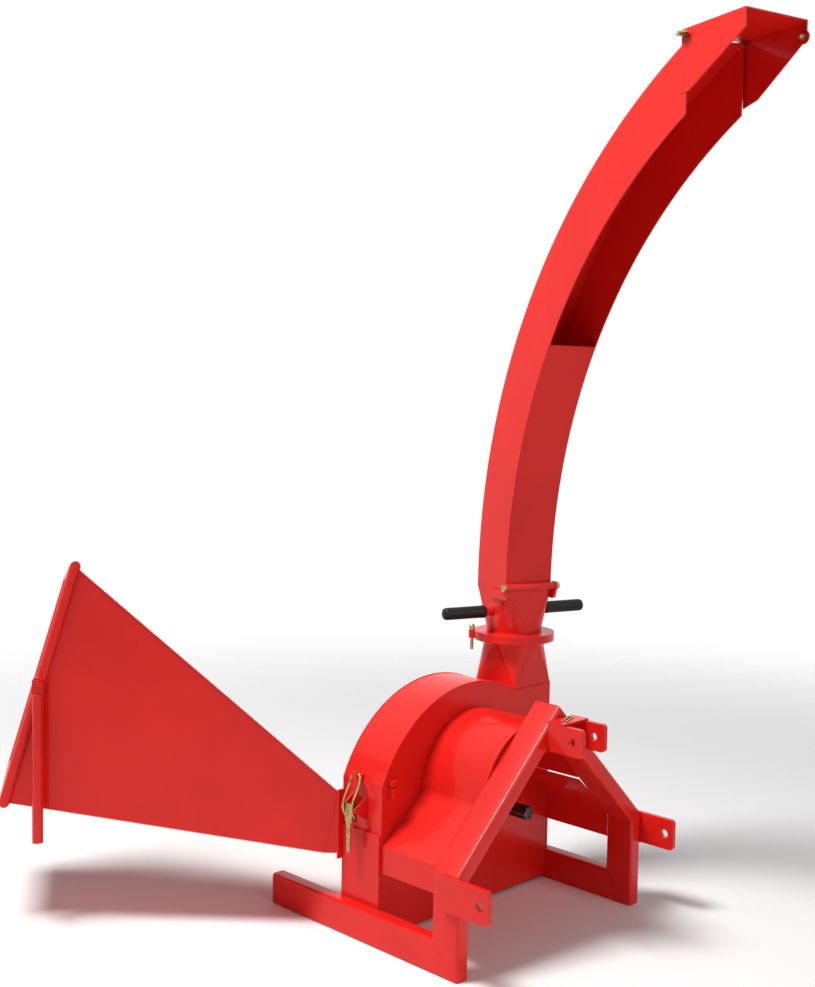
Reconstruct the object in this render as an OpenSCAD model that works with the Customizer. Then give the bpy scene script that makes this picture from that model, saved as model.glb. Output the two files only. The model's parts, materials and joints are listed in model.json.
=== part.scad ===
// Disc wood chipper for a tractor's three-point hitch, driven by the power take-off.
// X points to the right as the tractor driver sees it, Y to the rear, Z up. Millimetres.
// The modules measure X from the middle plane, Y from the front faces of the frame posts and Z from
// the ground. The finished machine has its origin midway between the lower hitch holes.

/* [Base frame] */
// Width over the outer faces of the two skids
base_w = 714; // [600:1:900]
// Height of the frame tube's section
tube_h = 80; // [60:1:100]
// Width of the frame tube's section
tube_w = 40; // [30:1:60]
// Wall of the frame tube
tube_wall = 4; // [2:0.5:6]
// Length of a skid from the front of its post
skid_len = 649; // [560:1:900]
// Height where the outer face of a post bends into its leg
kink_z = 244; // [220:1:320]
// Height of the ridge where the two legs meet
ridge_z = 583; // [540:1:640]

/* [Hitch] */
// Thickness of the hitch plates and ears
hitch_t = 12; // [8:1:20]
// Bore of the lower hitch holes
lower_hole_d = 22.5; // [19:0.1:30]
// Distance of the hitch holes in front of the posts
hitch_reach = 73; // [60:1:100]
// Height of the lower hitch holes
lower_hole_z = 204; // [190:1:210]
// Bore of the top hitch holes
top_hole_d = 19.5; // [19:0.1:26]
// Height of the top hitch holes
top_hole_z = 515; // [480:1:520]
// Gap between the two top ears
ear_gap = 74; // [50:1:90]

/* [Rotor housing] */
// Distance from the front of the posts to the housing's front plate
housing_y = 287; // [260:1:320]
// Depth of the housing over its two plates
housing_d = 137; // [125:1:170]
// Thickness of the housing plates
sheet = 5; // [3:0.5:8]
// Distance of the housing's side walls from the middle plane
wall_x = 320; // [305:1:335]
// Radius of the wrapper over the rotor
wrap_r = 346; // [340:1:370]
// Height of the joint between the two halves of the housing
split_z = 380; // [370:1:400]
// Width of the discharge spout
spout_w = 152; // [140:1:165]
// Height of the spout's top edge
spout_z = 550; // [545:1:570]
// Radius of the arched drive guard
guard_r = 186; // [165:1:200]
// Height of the arch's centre
guard_z = 343; // [330:1:350]
// Thickness of the guard's sheet
guard_t = 3; // [2:0.5:5]

/* [Rotor] */
// Height of the rotor shaft
axis_z = 296; // [285:1:305]
// Diameter of the rotor disc
disc_d = 516; // [470:1:530]
// Thickness of the rotor disc
disc_t = 20; // [12:1:25]
// Diameter of the shaft in its bearings
shaft_d = 45; // [40:1:55]
// Diameter over the splines of the drive end
spline_d = 34.9; // [30:0.1:44]
// Length of the splined end
spline_len = 80; // [60:1:100]
// Number of knives
knives = 4; // [2:1:4]

/* [Swivel] */
// Diameter of the two swivel flanges
flange_d = 220; // [200:1:240]
// Thickness of one swivel flange
flange_t = 11; // [8:1:14]
// Radius of the swivel's spigot
spigot_r = 66; // [60:1:68]
// Height of the flange on the spout
flange_z = 672; // [650:1:690]
// Radial clearance of turning fits
turn_gap = 0.06; // [0.02:0.01:0.1]
// Length of the turning bar over its two grips
bar_len = 450; // [400:1:520]
// Diameter of the grips
grip_d = 34; // [28:1:40]
// Height of the turning bar
bar_z = 752; // [745:1:760]

/* [Chute] */
// Direction of the throw, turned about the swivel from +X
throw_angle = 253.6; // [180:0.1:360]
// Width of the chute
chute_w = 146; // [130:1:160]
// Depth of the chute
chute_depth = 140; // [120:1:150]
// Radius of the chute's back
chute_r = 1430; // [1300:1:1500]
// Thickness of the chute's sheet
chute_t = 3; // [2:0.5:4]
// Height of the chute's lower end
chute_z = 818; // [812:1:830]
// Angle up to which the underside is closed
belly_angle = 30; // [15:1:40]
// Distance of the chute's outlet from the swivel
chute_reach = 734; // [680:1:740]
// Diameter of the fold barrel
hinge_d = 20; // [16:1:26]
// Diameter of the fold bolt
fold_bolt_d = 12; // [8:1:14]

/* [Hood] */
// Length of the hood's roof
hood_len = 193; // [180:1:260]
// Height of the hood's roof
hood_z = 2121; // [2115:1:2140]
// Diameter of the hood's pivot bolts
hood_bolt_d = 8; // [6:1:10]

/* [Hopper] */
// Distance of the feed duct's near wall from the middle of the machine, across the feed
throat_near = 67; // [60:1:80]
// Width inside the feed duct
throat_w = 170; // [150:1:180]
// Height of the duct's floor
throat_z0 = 192; // [180:1:200]
// Height of the duct's roof at its near wall
throat_z1 = 338; // [325:1:345]
// Fall of the duct's roof from its near to its far wall
roof_fall = 84; // [20:1:95]
// Distance along the feed at which the duct's roof ends
throat_reach = 541; // [539:1:580]
// Lean of the duct's end
throat_lean = 12.55; // [5:0.05:20]
// Wall of the feed duct
duct_t = 4; // [3:0.5:6]
// Thickness of the hopper's sheet
hopper_t = 3; // [2:0.5:5]
// Flare of the far panel
flare = 8; // [5:0.1:18]
// Rise of the floor
floor_rise = 8.24; // [4:0.1:12]
// Rise of the roof
roof_rise = 40.2; // [30:0.1:44]
// Distance along the feed at which the floor meets the rim
rim_reach = 1368; // [1250:1:1450]
// Lean of the rim
rim_lean = 16.5; // [8:0.1:24]
// Turn of the mouth in plan, which sets its far side further out
rim_turn = 13.5; // [0:0.5:20]
// Diameter of the rim tube
rim_d = 27; // [22:1:34]
// Diameter of the swing bar
swing_d = 27; // [20:1:32]
// Height of the swing bar's pivot
swing_z = 611; // [580:1:640]
// Height of the swing bar's underside above the ground
swing_low = 212; // [195:1:225]
// Diameter of the swing bar's pivot bolts
swing_bolt_d = 10; // [8:1:14]

/* [Latch] */
// Length of the latch lever
lever_len = 122; // [90:1:130]
// Diameter of the bail's wire
wire_d = 6; // [4:0.5:8]

/* [Hidden] */
$fn = 64;
red = [0.80, 0.12, 0.10];
zinc = [0.80, 0.68, 0.36];
steel = [0.36, 0.36, 0.38];
black = [0.08, 0.08, 0.09];
// A seat gap between pieces that only touch, and an overshoot for cuts
seat = 0.3;
over = 1;

half_w = base_w / 2;
inner_x = half_w - tube_w;
// Inner side of the bend, on the bisector of the post and its leg
leg_angle = atan2(ridge_z - kink_z, half_w);
kink_in = kink_z - tube_w * tan((90 - leg_angle) / 2);
ridge_in = ridge_z - tube_w / cos(leg_angle);

housing_back = housing_y + housing_d;
wrap_z = split_z - sqrt(wrap_r * wrap_r - wall_x * wall_x);
spout_x1 = wall_x;
spout_x0 = spout_x1 - spout_w;
swivel_x = spout_x1 - spout_w / 2;
swivel_y = housing_y + housing_d / 2;

disc_r = disc_d / 2;
shaft_r = shaft_d / 2;
pto_y = 91;
disc_y1 = housing_back - sheet - 24;
disc_y0 = disc_y1 - disc_t;
knife_t = 8;

swivel_z = flange_z + flange_t + seat;
neck_z = swivel_z + flange_t;
neck_top = chute_z - seat;
lock_d = 9;
lug_r = (flange_d + lock_d) / 2 + 0.7;
lock_angle = 135;

chute_x = chute_r - chute_depth / 2 - 5;
chute_in = chute_r - chute_depth;
belly_x = chute_x - chute_in;
hinge_x = belly_x + hinge_d / 2 + seat;
hinge_z = chute_z + 6;
ear_t = 8;
hood_x0 = chute_reach - 12;
hood_pivot = [hood_x0 + 12, hood_z - 12];
hood_side = chute_w / 2 + 10.5;

// The hopper is laid out along the feed, which runs to the rear left: X along it, -Y across it
feed_angle = 135;
throat_low = throat_reach + (throat_z1 - throat_z0) * tan(throat_lean);
throat_far = throat_near + throat_w;
roof_slope = roof_fall / throat_w;
// Planes of the near panel, floor, far panel and roof, each with its normal pointing out
sides = [
    plane([0, 1, 0], [0, -throat_near, 0]),
    plane([sin(floor_rise), 0, -cos(floor_rise)], [throat_low, 0, throat_z0]),
    plane([-sin(flare), -cos(flare), 0], [throat_reach, -throat_far, 0]),
    plane([-tan(roof_rise), -roof_slope, 1], [throat_reach, -throat_near, throat_z1])
];
throat_end = plane([cos(throat_lean), 0, sin(throat_lean)], [throat_reach, 0, throat_z1]);
rim_low = throat_z0 + (rim_reach - throat_low) * tan(floor_rise);
rim_mid = [rim_reach, -throat_near, rim_low];
rim_end = plane([1, tan(rim_turn), tan(rim_lean)], rim_mid);
// Corners of the rim tube's path, on the middle of the sheets
rim = [for (i = [0:3]) meet(shift(sides[i], hopper_t / 2), shift(sides[(i + 1) % 4], hopper_t / 2), rim_end)];

latch_y = 365;
lever_x = -wall_x - 30;
lever_z = 318;
keeper_z = split_z + 10;

function unit(v) = v / norm(v);
function mix(a, b, t) = a + (b - a) * t;
// A plane as its unit normal and its distance along that normal
function plane(n, p) = [unit(n), unit(n) * p];
function shift(p, s) = [p[0], p[1] + s];
// The point that three planes share
function meet(p, q, r) =
    (p[1] * cross(q[0], r[0]) + q[1] * cross(r[0], p[0]) + r[1] * cross(p[0], q[0]))
    / (p[0] * cross(q[0], r[0]));

// A mirrored pair, left and right of the middle plane
module both_sides() {
    children();
    mirror([1, 0, 0]) children();
}

// A 2D shape in X and Z, extruded rearwards from y0 to y1
module across(y0, y1) {
    translate([0, y1, 0]) rotate([90, 0, 0]) linear_extrude(y1 - y0) children();
}

// A 2D shape in Y and Z, extruded to the right from x0 to x1
module along(x0, x1) {
    translate([x0, 0, 0]) rotate([90, 0, 90]) linear_extrude(x1 - x0) children();
}

// A round bar from a to b
module bar(a, b, r) {
    v = b - a;
    translate(a) rotate([0, acos(v[2] / norm(v)), atan2(v[1], v[0])]) cylinder(h = norm(v), r = r);
}

// Hexagon bolt whose head sits on z = 0 and whose shank points down
module hex_bolt(d, len, head = 0.65) {
    cylinder(h = d * head, d = d * 1.8, $fn = 6);
    translate([0, 0, -len]) cylinder(h = len, d = d);
}

// The skid and post outlines share the mitre at the front corner
module skid_profile(inset) {
    polygon([
        [inset, inset], [skid_len + over, inset],
        [skid_len + over, tube_h - inset], [tube_h - inset, tube_h - inset]
    ]);
}

module skid() {
    color(red) difference() {
        intersection() {
            along(inner_x, half_w) skid_profile(0);
            translate([0, 0, -over]) cube([base_w, skid_len, tube_h + 2 * over]);
        }
        along(inner_x + tube_wall, half_w - tube_wall) skid_profile(tube_wall);
    }
    // End cap, a hair behind the tube
    color(red) translate([inner_x, skid_len + 0.05, 0]) cube([tube_w, tube_wall, tube_h]);
}

module left_skid() mirror([1, 0, 0]) skid();
module right_skid() skid();

module post_solid(inset) {
    intersection() {
        along(inner_x + inset, half_w - inset)
            polygon([
                [inset, inset], [tube_h - inset, tube_h - inset],
                [tube_h - inset, ridge_z], [inset, ridge_z]
            ]);
        across(-over, tube_h + over)
            polygon([[inner_x - over, -over], [half_w + over, -over],
                mix([half_w, kink_z], [inner_x, kink_in], -over / tube_w),
                mix([half_w, kink_z], [inner_x, kink_in], 1 + over / tube_w)]);
    }
}

module post() {
    color(red) difference() {
        post_solid(0);
        post_solid(tube_wall);
    }
}

module left_post() mirror([1, 0, 0]) post();
module right_post() post();

module frame_leg_profile(t) {
    out_a = mix([half_w, kink_z], [inner_x, kink_in], t);
    in_a = mix([half_w, kink_z], [inner_x, kink_in], 1 - t);
    out_b = mix([0, ridge_z], [0, ridge_in], t);
    in_b = mix([0, ridge_z], [0, ridge_in], 1 - t);
    polygon([out_a, out_b, in_b, in_a]);
}

module frame_leg() {
    color(red) difference() {
        across(0, tube_h) frame_leg_profile(0);
        across(tube_wall, tube_h - tube_wall) frame_leg_profile(tube_wall / tube_w);
    }
}

module left_frame_leg() mirror([1, 0, 0]) frame_leg();
module right_frame_leg() frame_leg();

// Hitch plates lapped on the outer faces of the posts, with rounded front corners
module hitch_outline(y0, z0, z1, hole_z, hole_d) {
    r = 10;
    difference() {
        union() {
            translate([y0 + r, z0]) square([tube_h / 2 + 2 - y0 - r, z1 - z0]);
            translate([y0, z0 + r]) square([r + over, z1 - z0 - 2 * r]);
            for (z = [z0 + r, z1 - r]) translate([y0 + r, z]) circle(r);
        }
        translate([-hitch_reach, hole_z]) circle(d = hole_d);
    }
}

module hitch_plate() {
    color(red) along(half_w, half_w + hitch_t)
        hitch_outline(-hitch_reach - 27, lower_hole_z - 40, lower_hole_z + 40, lower_hole_z, lower_hole_d);
}

module lower_hitch_plates() both_sides() hitch_plate();

// The ears stand against the front of the legs, just under the ridge
module top_hitch_ears() {
    color(red) both_sides() intersection() {
        along(ear_gap / 2, ear_gap / 2 + hitch_t)
            hitch_outline(-hitch_reach - 32, top_hole_z - 34, top_hole_z + 34, top_hole_z, top_hole_d);
        translate([0, -base_w, 0]) cube([base_w, base_w, ridge_z]);
    }
}

cap_z = top_hole_z + 34;
cap_y0 = -48;

module top_hitch_cap() {
    color(red) translate([-ear_gap / 2 - hitch_t, cap_y0, cap_z])
        cube([ear_gap + 2 * hitch_t, -cap_y0, 5]);
}

// Spring clip that lies ready on the cap: a straight leg and a bowed one, joined by an eye
module hitch_clip() {
    r = 2;
    lie = [-2, -24, cap_z + 5 + r];
    color(zinc) translate(lie) rotate(20) {
        translate([-26, -5, 0]) rotate([0, 90, 0]) cylinder(h = 52, r = r);
        translate([26, 0, 0]) rotate(-90) rotate_extrude(angle = 180) translate([5, 0]) circle(r, $fn = 24);
        translate([-26, 5, 0]) rotate([0, 90, 0]) cylinder(h = 52, r = r);
        translate([-26, 5, 0]) sphere(r);
        translate([-26, -5, 0]) sphere(r);
    }
}

// Arched guard over the drive shaft: an arch, two slanted shoulders and two side bands
band_z = tube_h + 90;
shoulder_z = 237;
foot_z = guard_z + 8;

// Slit between the arch and a shoulder
guard_slit = 4;

// Fall of a shoulder per unit of width
shoulder_fall = (foot_z - shoulder_z) / (wall_x - guard_r);

// A shoulder sheet with its band, from the slit out to the wall and down
module guard_shoulder() {
    steep = sqrt(1 + shoulder_fall * shoulder_fall);
    x0 = guard_r + guard_slit;
    z0 = foot_z - guard_slit * shoulder_fall;
    polygon([
        [wall_x, band_z], [wall_x, shoulder_z], [x0, z0], [x0, z0 - guard_t * steep],
        [wall_x - guard_t, shoulder_z - guard_t * (steep - shoulder_fall)], [wall_x - guard_t, band_z]
    ]);
}

module drive_guard() {
    color(red) across(tube_h, housing_y) {
        difference() {
            translate([0, guard_z]) circle(guard_r, $fn = 128);
            translate([0, guard_z]) circle(guard_r - guard_t, $fn = 128);
            translate([-base_w, foot_z + 3 - base_w]) square([2 * base_w, base_w]);
        }
        guard_shoulder();
        mirror([1, 0]) guard_shoulder();
    }
}

// Outlines of the rotor housing's plates, in X and Z
plate_z0 = 8;

// Left edge of the rear plate's tab, which carries the duct's near wall
tab_x = housing_back - sqrt(2) * (throat_near - duct_t) + 6;

module lower_outline() {
    translate([-inner_x, plate_z0]) square([2 * inner_x, tube_h - plate_z0 + over]);
    translate([-wall_x, tube_h]) square([2 * wall_x, split_z - tube_h]);
}

module upper_outline(inset) {
    intersection() {
        translate([0, wrap_z]) circle(wrap_r - inset, $fn = 160);
        translate([-wall_x - over, split_z - over])
            square([wall_x + over + spout_x0 + (inset > 0 ? 40 : 0), wrap_r]);
    }
    translate([spout_x0 + inset, split_z - over])
        square([spout_w - 2 * inset, spout_z - split_z + over + (inset > 0 ? over : 0)]);
}

bearing_bolt_d = 12;
bearing_half = 52;

module bearing_holes(d) {
    for (x = [-1, 1], z = [-1, 1])
        translate([x * (bearing_half - 14), axis_z + z * (bearing_half - 14)]) circle(d = d);
}

// Feed opening in the rear plate, just inside the duct
hole_x0 = -wall_x + sheet;
hole_x1 = sqrt(2) * throat_far - housing_back - 9;
function duct_roof(x) = throat_z1 - ((x + housing_back) / sqrt(2) - throat_near) * roof_slope;

module throat_hole() {
    polygon([
        [hole_x0, throat_z0 + 4], [hole_x1, throat_z0 + 4],
        [hole_x1, duct_roof(hole_x1) - 7], [hole_x0, duct_roof(hole_x0) - 7]
    ]);
}

// Locating lugs in front of the joint, one on each half
lug_reach = 17;

module split_lug(x, w, z, h) {
    translate([x, housing_y - lug_reach, z]) cube([w, lug_reach, h]);
}

module lower_housing() {
    color(red) {
        across(housing_y, housing_y + sheet) difference() {
            lower_outline();
            translate([0, axis_z]) circle(shaft_r + 6);
            bearing_holes(bearing_bolt_d + 0.6);
        }
        across(housing_back - sheet, housing_back) difference() {
            union() {
                lower_outline();
                translate([-tab_x, throat_z0 - 16]) square([tab_x, throat_z1 - throat_z0 + 28]);
            }
            translate([0, axis_z]) circle(shaft_r + 6);
            bearing_holes(bearing_bolt_d + 0.6);
            throat_hole();
            bed_knife_holes();
        }
        for (x = [-wall_x, wall_x - sheet])
            translate([x, housing_y, tube_h]) cube([sheet, housing_d, split_z - tube_h]);
        split_lug(-wall_x + 22, 18, split_z - 28, 26);
    }
}

// Doubler plates on the housing's walls, standing on the skids
doubler_t = 8;
doubler_z = 262;

module wall_doublers() {
    color(red) both_sides() translate([wall_x, housing_y, tube_h])
        cube([doubler_t, housing_d - sheet, doubler_z - tube_h]);
}

// Trough under the rotor, with shelves out to the walls
trough_r = disc_r + 18;
trough_t = 4;

module rotor_trough() {
    color(red) across(housing_y + sheet, housing_back - sheet) difference() {
        union() {
            translate([0, axis_z]) circle(trough_r + trough_t, $fn = 128);
            translate([-wall_x + sheet, axis_z - trough_t]) square([2 * (wall_x - sheet), trough_t]);
        }
        translate([0, axis_z]) circle(trough_r, $fn = 128);
        translate([-base_w, axis_z]) square(2 * base_w);
    }
}

module bearing_unit() {
    difference() {
        union() {
            across(0, 16) difference() {
                translate([-bearing_half, -bearing_half]) square(2 * bearing_half);
                translate([0, -axis_z]) bearing_holes(bearing_bolt_d + 0.6);
                circle(shaft_r + turn_gap);
            }
            across(16, 38) difference() {
                circle(bearing_half - 10);
                circle(shaft_r + turn_gap);
            }
        }
    }
}

module front_bearing() {
    color(steel) translate([0, housing_y, axis_z]) mirror([0, 1, 0]) bearing_unit();
}

module rear_bearing() {
    color(steel) translate([0, housing_back, axis_z]) bearing_unit();
}

module bearing_bolts() {
    color(zinc) for (x = [-1, 1], z = [-1, 1]) {
        p = [x * (bearing_half - 14), 0, axis_z + z * (bearing_half - 14)];
        translate(p + [0, housing_y - 16, 0]) rotate([90, 0, 0]) hex_bolt(bearing_bolt_d, 16 + sheet + 6);
        translate(p + [0, housing_back + 16, 0]) rotate([-90, 0, 0]) hex_bolt(bearing_bolt_d, 16 + sheet + 6);
    }
}

// Shaft with a six-splined drive end
shaft_y1 = housing_back + 44;

module rotor_shaft() {
    root = spline_d * 0.42;
    color(steel) translate([0, 0, axis_z]) {
        rotate([-90, 0, 0]) translate([0, 0, pto_y + spline_len])
            cylinder(h = shaft_y1 - pto_y - spline_len, r = shaft_r);
        across(pto_y, pto_y + spline_len + over) intersection() {
            circle(d = spline_d);
            union() {
                circle(root);
                for (a = [0:60:300]) rotate(a) translate([0, -4.4]) square([spline_d, 8.8]);
            }
        }
    }
}

knife_w = 50;
knife_len = 150;
knife_r0 = 92;

module knife_frame(k) {
    translate([0, 0, axis_z]) rotate([0, k * 360 / knives + 20, 0]) children();
}

// Knife bolt places along a knife
function knife_bolt_x(i) = knife_r0 + 25 + i * (knife_len - 50) / 2;

module rotor_disc() {
    color(steel) difference() {
        translate([0, disc_y0, axis_z]) rotate([-90, 0, 0]) cylinder(h = disc_t, r = disc_r, $fn = 128);
        translate([0, disc_y0 - over, axis_z]) rotate([-90, 0, 0])
            cylinder(h = disc_t + 2 * over, r = shaft_r + 0.05);
        for (k = [0:knives - 1]) knife_frame(k) {
            translate([knife_r0, disc_y0 - over, knife_w / 2 - 8]) cube([knife_len, disc_t + 2 * over, 30]);
            for (i = [0:2]) translate([knife_bolt_x(i), disc_y0 - over, -6]) rotate([-90, 0, 0])
                cylinder(h = disc_t + 2 * over, d = 12.4);
        }
        hub_holes(disc_y0 - over, disc_t + 2 * over, 10.4);
    }
}

hub_r = 70;
hub_t = 44;

module hub_holes(y, h, d) {
    for (a = [0:60:300]) translate([0, y, axis_z]) rotate([0, a, 0]) translate([52, 0, 0])
        rotate([-90, 0, 0]) cylinder(h = h, d = d);
}

module rotor_hub() {
    color(steel) difference() {
        translate([0, disc_y0 - hub_t, axis_z]) rotate([-90, 0, 0]) union() {
            cylinder(h = hub_t, r = 40);
            translate([0, 0, hub_t - 14]) cylinder(h = 14, r = hub_r);
        }
        translate([0, disc_y0 - hub_t - over, axis_z]) rotate([-90, 0, 0])
            cylinder(h = hub_t + 2 * over, r = shaft_r + 0.05);
        hub_holes(disc_y0 - hub_t, hub_t + over, 10.4);
    }
}

module hub_bolts() {
    color(zinc) for (a = [0:60:300]) translate([0, disc_y0 - 14, axis_z]) rotate([0, a, 0])
        translate([52, 0, 0]) rotate([90, 0, 0]) hex_bolt(10, 14 + disc_t);
}

module knives() {
    color([0.70, 0.71, 0.73]) for (k = [0:knives - 1]) knife_frame(k) difference() {
        translate([knife_r0, disc_y1, -knife_w / 2]) rotate([0, 0, 0]) along(0, knife_len)
            polygon([[0, 0], [knife_t, 0], [knife_t, knife_w], [0, knife_w - 9]]);
        for (i = [0:2]) translate([knife_bolt_x(i), disc_y1 - over, -6]) rotate([-90, 0, 0])
            cylinder(h = knife_t + 2 * over, d = 12.4);
    }
}

// Flat countersunk heads stay under the knife's face; nuts sit on the disc's front
module knife_bolts() {
    color(zinc) for (k = [0:knives - 1]) knife_frame(k)
        for (i = [0:2]) translate([knife_bolt_x(i), disc_y0, -6]) rotate([90, 0, 0]) {
            cylinder(h = 10, d = 20, $fn = 6);
            translate([0, 0, -disc_t - knife_t]) cylinder(h = disc_t + knife_t, d = 12);
        }
}

paddle_y0 = housing_y + sheet + 14;

module fan_paddles() {
    color(steel) for (k = [0:knives - 1]) translate([0, 0, axis_z]) rotate([0, k * 360 / knives + 65, 0])
        translate([hub_r + 12, paddle_y0, -5]) cube([disc_r - hub_r - 16, disc_y0 - paddle_y0, 10]);
}

// Upper edge of the bed knife and its two ends
bed_knife_z = throat_z0 + 3;
bed_x0 = 3 - sqrt(trough_r * trough_r - (axis_z - bed_knife_z + 40) * (axis_z - bed_knife_z + 40));
bed_x1 = hole_x1;

function bed_bolt_x(i) = bed_x0 + 30 + i * (bed_x1 - bed_x0 - 60) / 2;

module bed_knife_holes() {
    for (i = [0:2]) translate([bed_bolt_x(i), bed_knife_z - 24]) circle(d = 10.6);
}

// Fixed counter knife on the inner face of the rear plate, under the feed opening
module bed_knife() {
    color([0.70, 0.71, 0.73]) across(housing_back - sheet - 12, housing_back - sheet) difference() {
        translate([bed_x0, bed_knife_z - 40]) square([bed_x1 - bed_x0, 40]);
        bed_knife_holes();
    }
}

module bed_knife_bolts() {
    color(zinc) for (i = [0:2])
        translate([bed_bolt_x(i), housing_back, bed_knife_z - 24]) rotate([-90, 0, 0])
            hex_bolt(10, sheet + 12);
}

module upper_housing() {
    color(red) difference() {
        across(housing_y, housing_back) upper_outline(0);
        across(housing_y + sheet, housing_back - sheet) upper_outline(sheet);
        translate([-base_w, 0, split_z - 100 + seat]) cube([2 * base_w, base_w, 100]);
    }
    color(red) split_lug(-wall_x + 20, 16, split_z + 1, 14);
}

// Hinge of the upper housing on the right-hand wall
hinge_pin_d = 14;
leaf_t = 6;
knuckle_r = 12;
house_hinge_x = spout_x1 + leaf_t + knuckle_r - 2;

module knuckle(y0, y1) {
    translate([house_hinge_x, y0, split_z]) rotate([-90, 0, 0]) difference() {
        cylinder(h = y1 - y0, r = knuckle_r);
        translate([0, 0, -over]) cylinder(h = y1 - y0 + 2 * over, d = hinge_pin_d + 2 * turn_gap);
    }
}

hinge_y0 = housing_y + 12;
hinge_y1 = housing_back - 12;
hinge_third = (hinge_y1 - hinge_y0) / 3;

// Lower leaf with two knuckles, and the pin through all three
module housing_hinge() {
    color(red) for (y = [hinge_y0, hinge_y1 - hinge_third + seat]) {
        knuckle(y, y + hinge_third - seat);
        translate([spout_x1, y, split_z - 50]) cube([leaf_t, hinge_third - seat, 50]);
        translate([spout_x1, y, split_z - 10]) cube([leaf_t + 5, hinge_third - seat, 8]);
    }
    color(zinc) translate([house_hinge_x, hinge_y0 - 6, split_z]) rotate([-90, 0, 0]) {
        cylinder(h = hinge_y1 - hinge_y0 + 12, d = hinge_pin_d);
        translate([0, 0, -4]) cylinder(h = 4, d = hinge_pin_d + 6);
    }
}

module housing_hinge_leaf() {
    y0 = hinge_y0 + hinge_third;
    y1 = hinge_y1 - hinge_third;
    color(red) {
        knuckle(y0, y1);
        translate([spout_x1, y0, split_z + seat]) cube([leaf_t, y1 - y0, 50]);
        translate([spout_x1, y0, split_z + 2]) cube([leaf_t + 2, y1 - y0, 8]);
    }
}

// Over-centre latch: two cheeks on the left wall, a lever, a wire bail and a hook above the joint
cheek_y = 20;
cheek_t = 6;
lever_w = 24;
latch_pin_d = 8;
wire_r = wire_d / 2;
bail_pivot = [lever_x - 1, lever_z - 20];
bail_half = lever_w / 2 + wire_r + 0.5;
// The bail's bar lies on the keeper, behind its lip
bail_top = [-wall_x - 14.7, keeper_z + 8 + wire_r + seat];
// The legs bend round the lever's pin
bail_path = [bail_pivot, [lever_x - 9, lever_z - 2], [lever_x - 2, lever_z + 27],
    [lever_x + 10, lever_z + 62], bail_top];

module latch_bracket() {
    sides_y = [latch_y - cheek_y - cheek_t, latch_y + cheek_y];
    color(red) for (y = sides_y) across(y, y + cheek_t) difference() {
        union() {
            polygon([
                [-wall_x, lever_z - 30], [-wall_x, lever_z + 30],
                [lever_x, lever_z + 10], [lever_x, lever_z - 10]
            ]);
            translate([lever_x, lever_z]) circle(10);
        }
        translate([lever_x, lever_z]) circle(d = latch_pin_d + 2 * turn_gap);
    }
}

// Channel lever, open to the wall, on a pin through both cheeks, with a flat handle
module latch_lever() {
    low = lever_z + 14 - lever_len;
    mouth = lever_z - 32;
    color(zinc) {
        translate([lever_x, latch_y - cheek_y - cheek_t, lever_z]) rotate([-90, 0, 0])
            cylinder(h = 2 * (cheek_y + cheek_t), d = latch_pin_d);
        along(lever_x - 8, lever_x - 5) polygon([
            [latch_y - 8, mouth + over], [latch_y + 8, mouth + over], [latch_y + 5, low], [latch_y - 5, low]
        ]);
        difference() {
            translate([lever_x - 8, latch_y - lever_w / 2, mouth]) cube([18, lever_w, lever_z + 14 - mouth]);
            translate([lever_x - 5, latch_y - lever_w / 2 + 3, mouth - over])
                cube([20, lever_w - 6, lever_z + 14 - mouth + 2 * over]);
            translate([bail_pivot[0], latch_y - lever_w, bail_pivot[1]]) rotate([-90, 0, 0])
                cylinder(h = 2 * lever_w, d = wire_d + 2 * turn_gap);
        }
    }
}

module latch_bail() {
    last = len(bail_path) - 1;
    color(zinc) {
        for (s = [-1, 1]) {
            y = latch_y + s * bail_half;
            for (i = [0:last - 1]) {
                a = bail_path[i];
                b = bail_path[i + 1];
                bar([a[0], y, a[1]], [b[0], y, b[1]], wire_r);
            }
            // Knuckles a little proud of the wire at its bends
            for (i = [0:last]) translate([bail_path[i][0], y, bail_path[i][1]]) sphere(wire_r + 0.1);
            translate([bail_pivot[0], y, bail_pivot[1]]) rotate([s * 90, 0, 0])
                cylinder(h = bail_half - lever_w / 2 + 3, r = wire_r);
        }
        translate([bail_top[0], latch_y - bail_half, bail_top[1]]) rotate([-90, 0, 0])
            cylinder(h = 2 * bail_half, r = wire_r);
    }
}

// Keeper welded to the wrapper above the joint, with an upturned lip
module latch_keeper() {
    lip_x = bail_top[0] - wire_r - seat;
    color(red) across(latch_y - 9, latch_y + 9) difference() {
        polygon([
            [-wall_x + 30, keeper_z + 2], [-wall_x + 30, keeper_z + 8], [lip_x, keeper_z + 8],
            [lip_x, keeper_z + 20], [lip_x - 4, keeper_z + 20], [lip_x - 4, keeper_z + 2]
        ]);
        translate([0, wrap_z]) circle(wrap_r, $fn = 160);
    }
}

// Square foot of the transition becomes round at the swivel
module square_to_round(w, d, z0, r, z1, lip) {
    hull() {
        translate([-w / 2, -d / 2, z0]) cube([w, d, lip]);
        translate([0, 0, z1 - lip]) cylinder(h = lip, r = r);
    }
}

module at_swivel() {
    translate([swivel_x, swivel_y, 0]) children();
}

neck_r = chute_w / 2;
neck_wall = 4;
spout_r = spigot_r + 14;

module spout_transition() {
    color(red) at_swivel() difference() {
        square_to_round(spout_w, housing_d, spout_z, spout_r, flange_z, 2, $fn = 48);
        square_to_round(spout_w - 10, housing_d - 10, spout_z - over, spout_r - 4, flange_z + over, 2,
            $fn = 48);
    }
}

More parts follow.
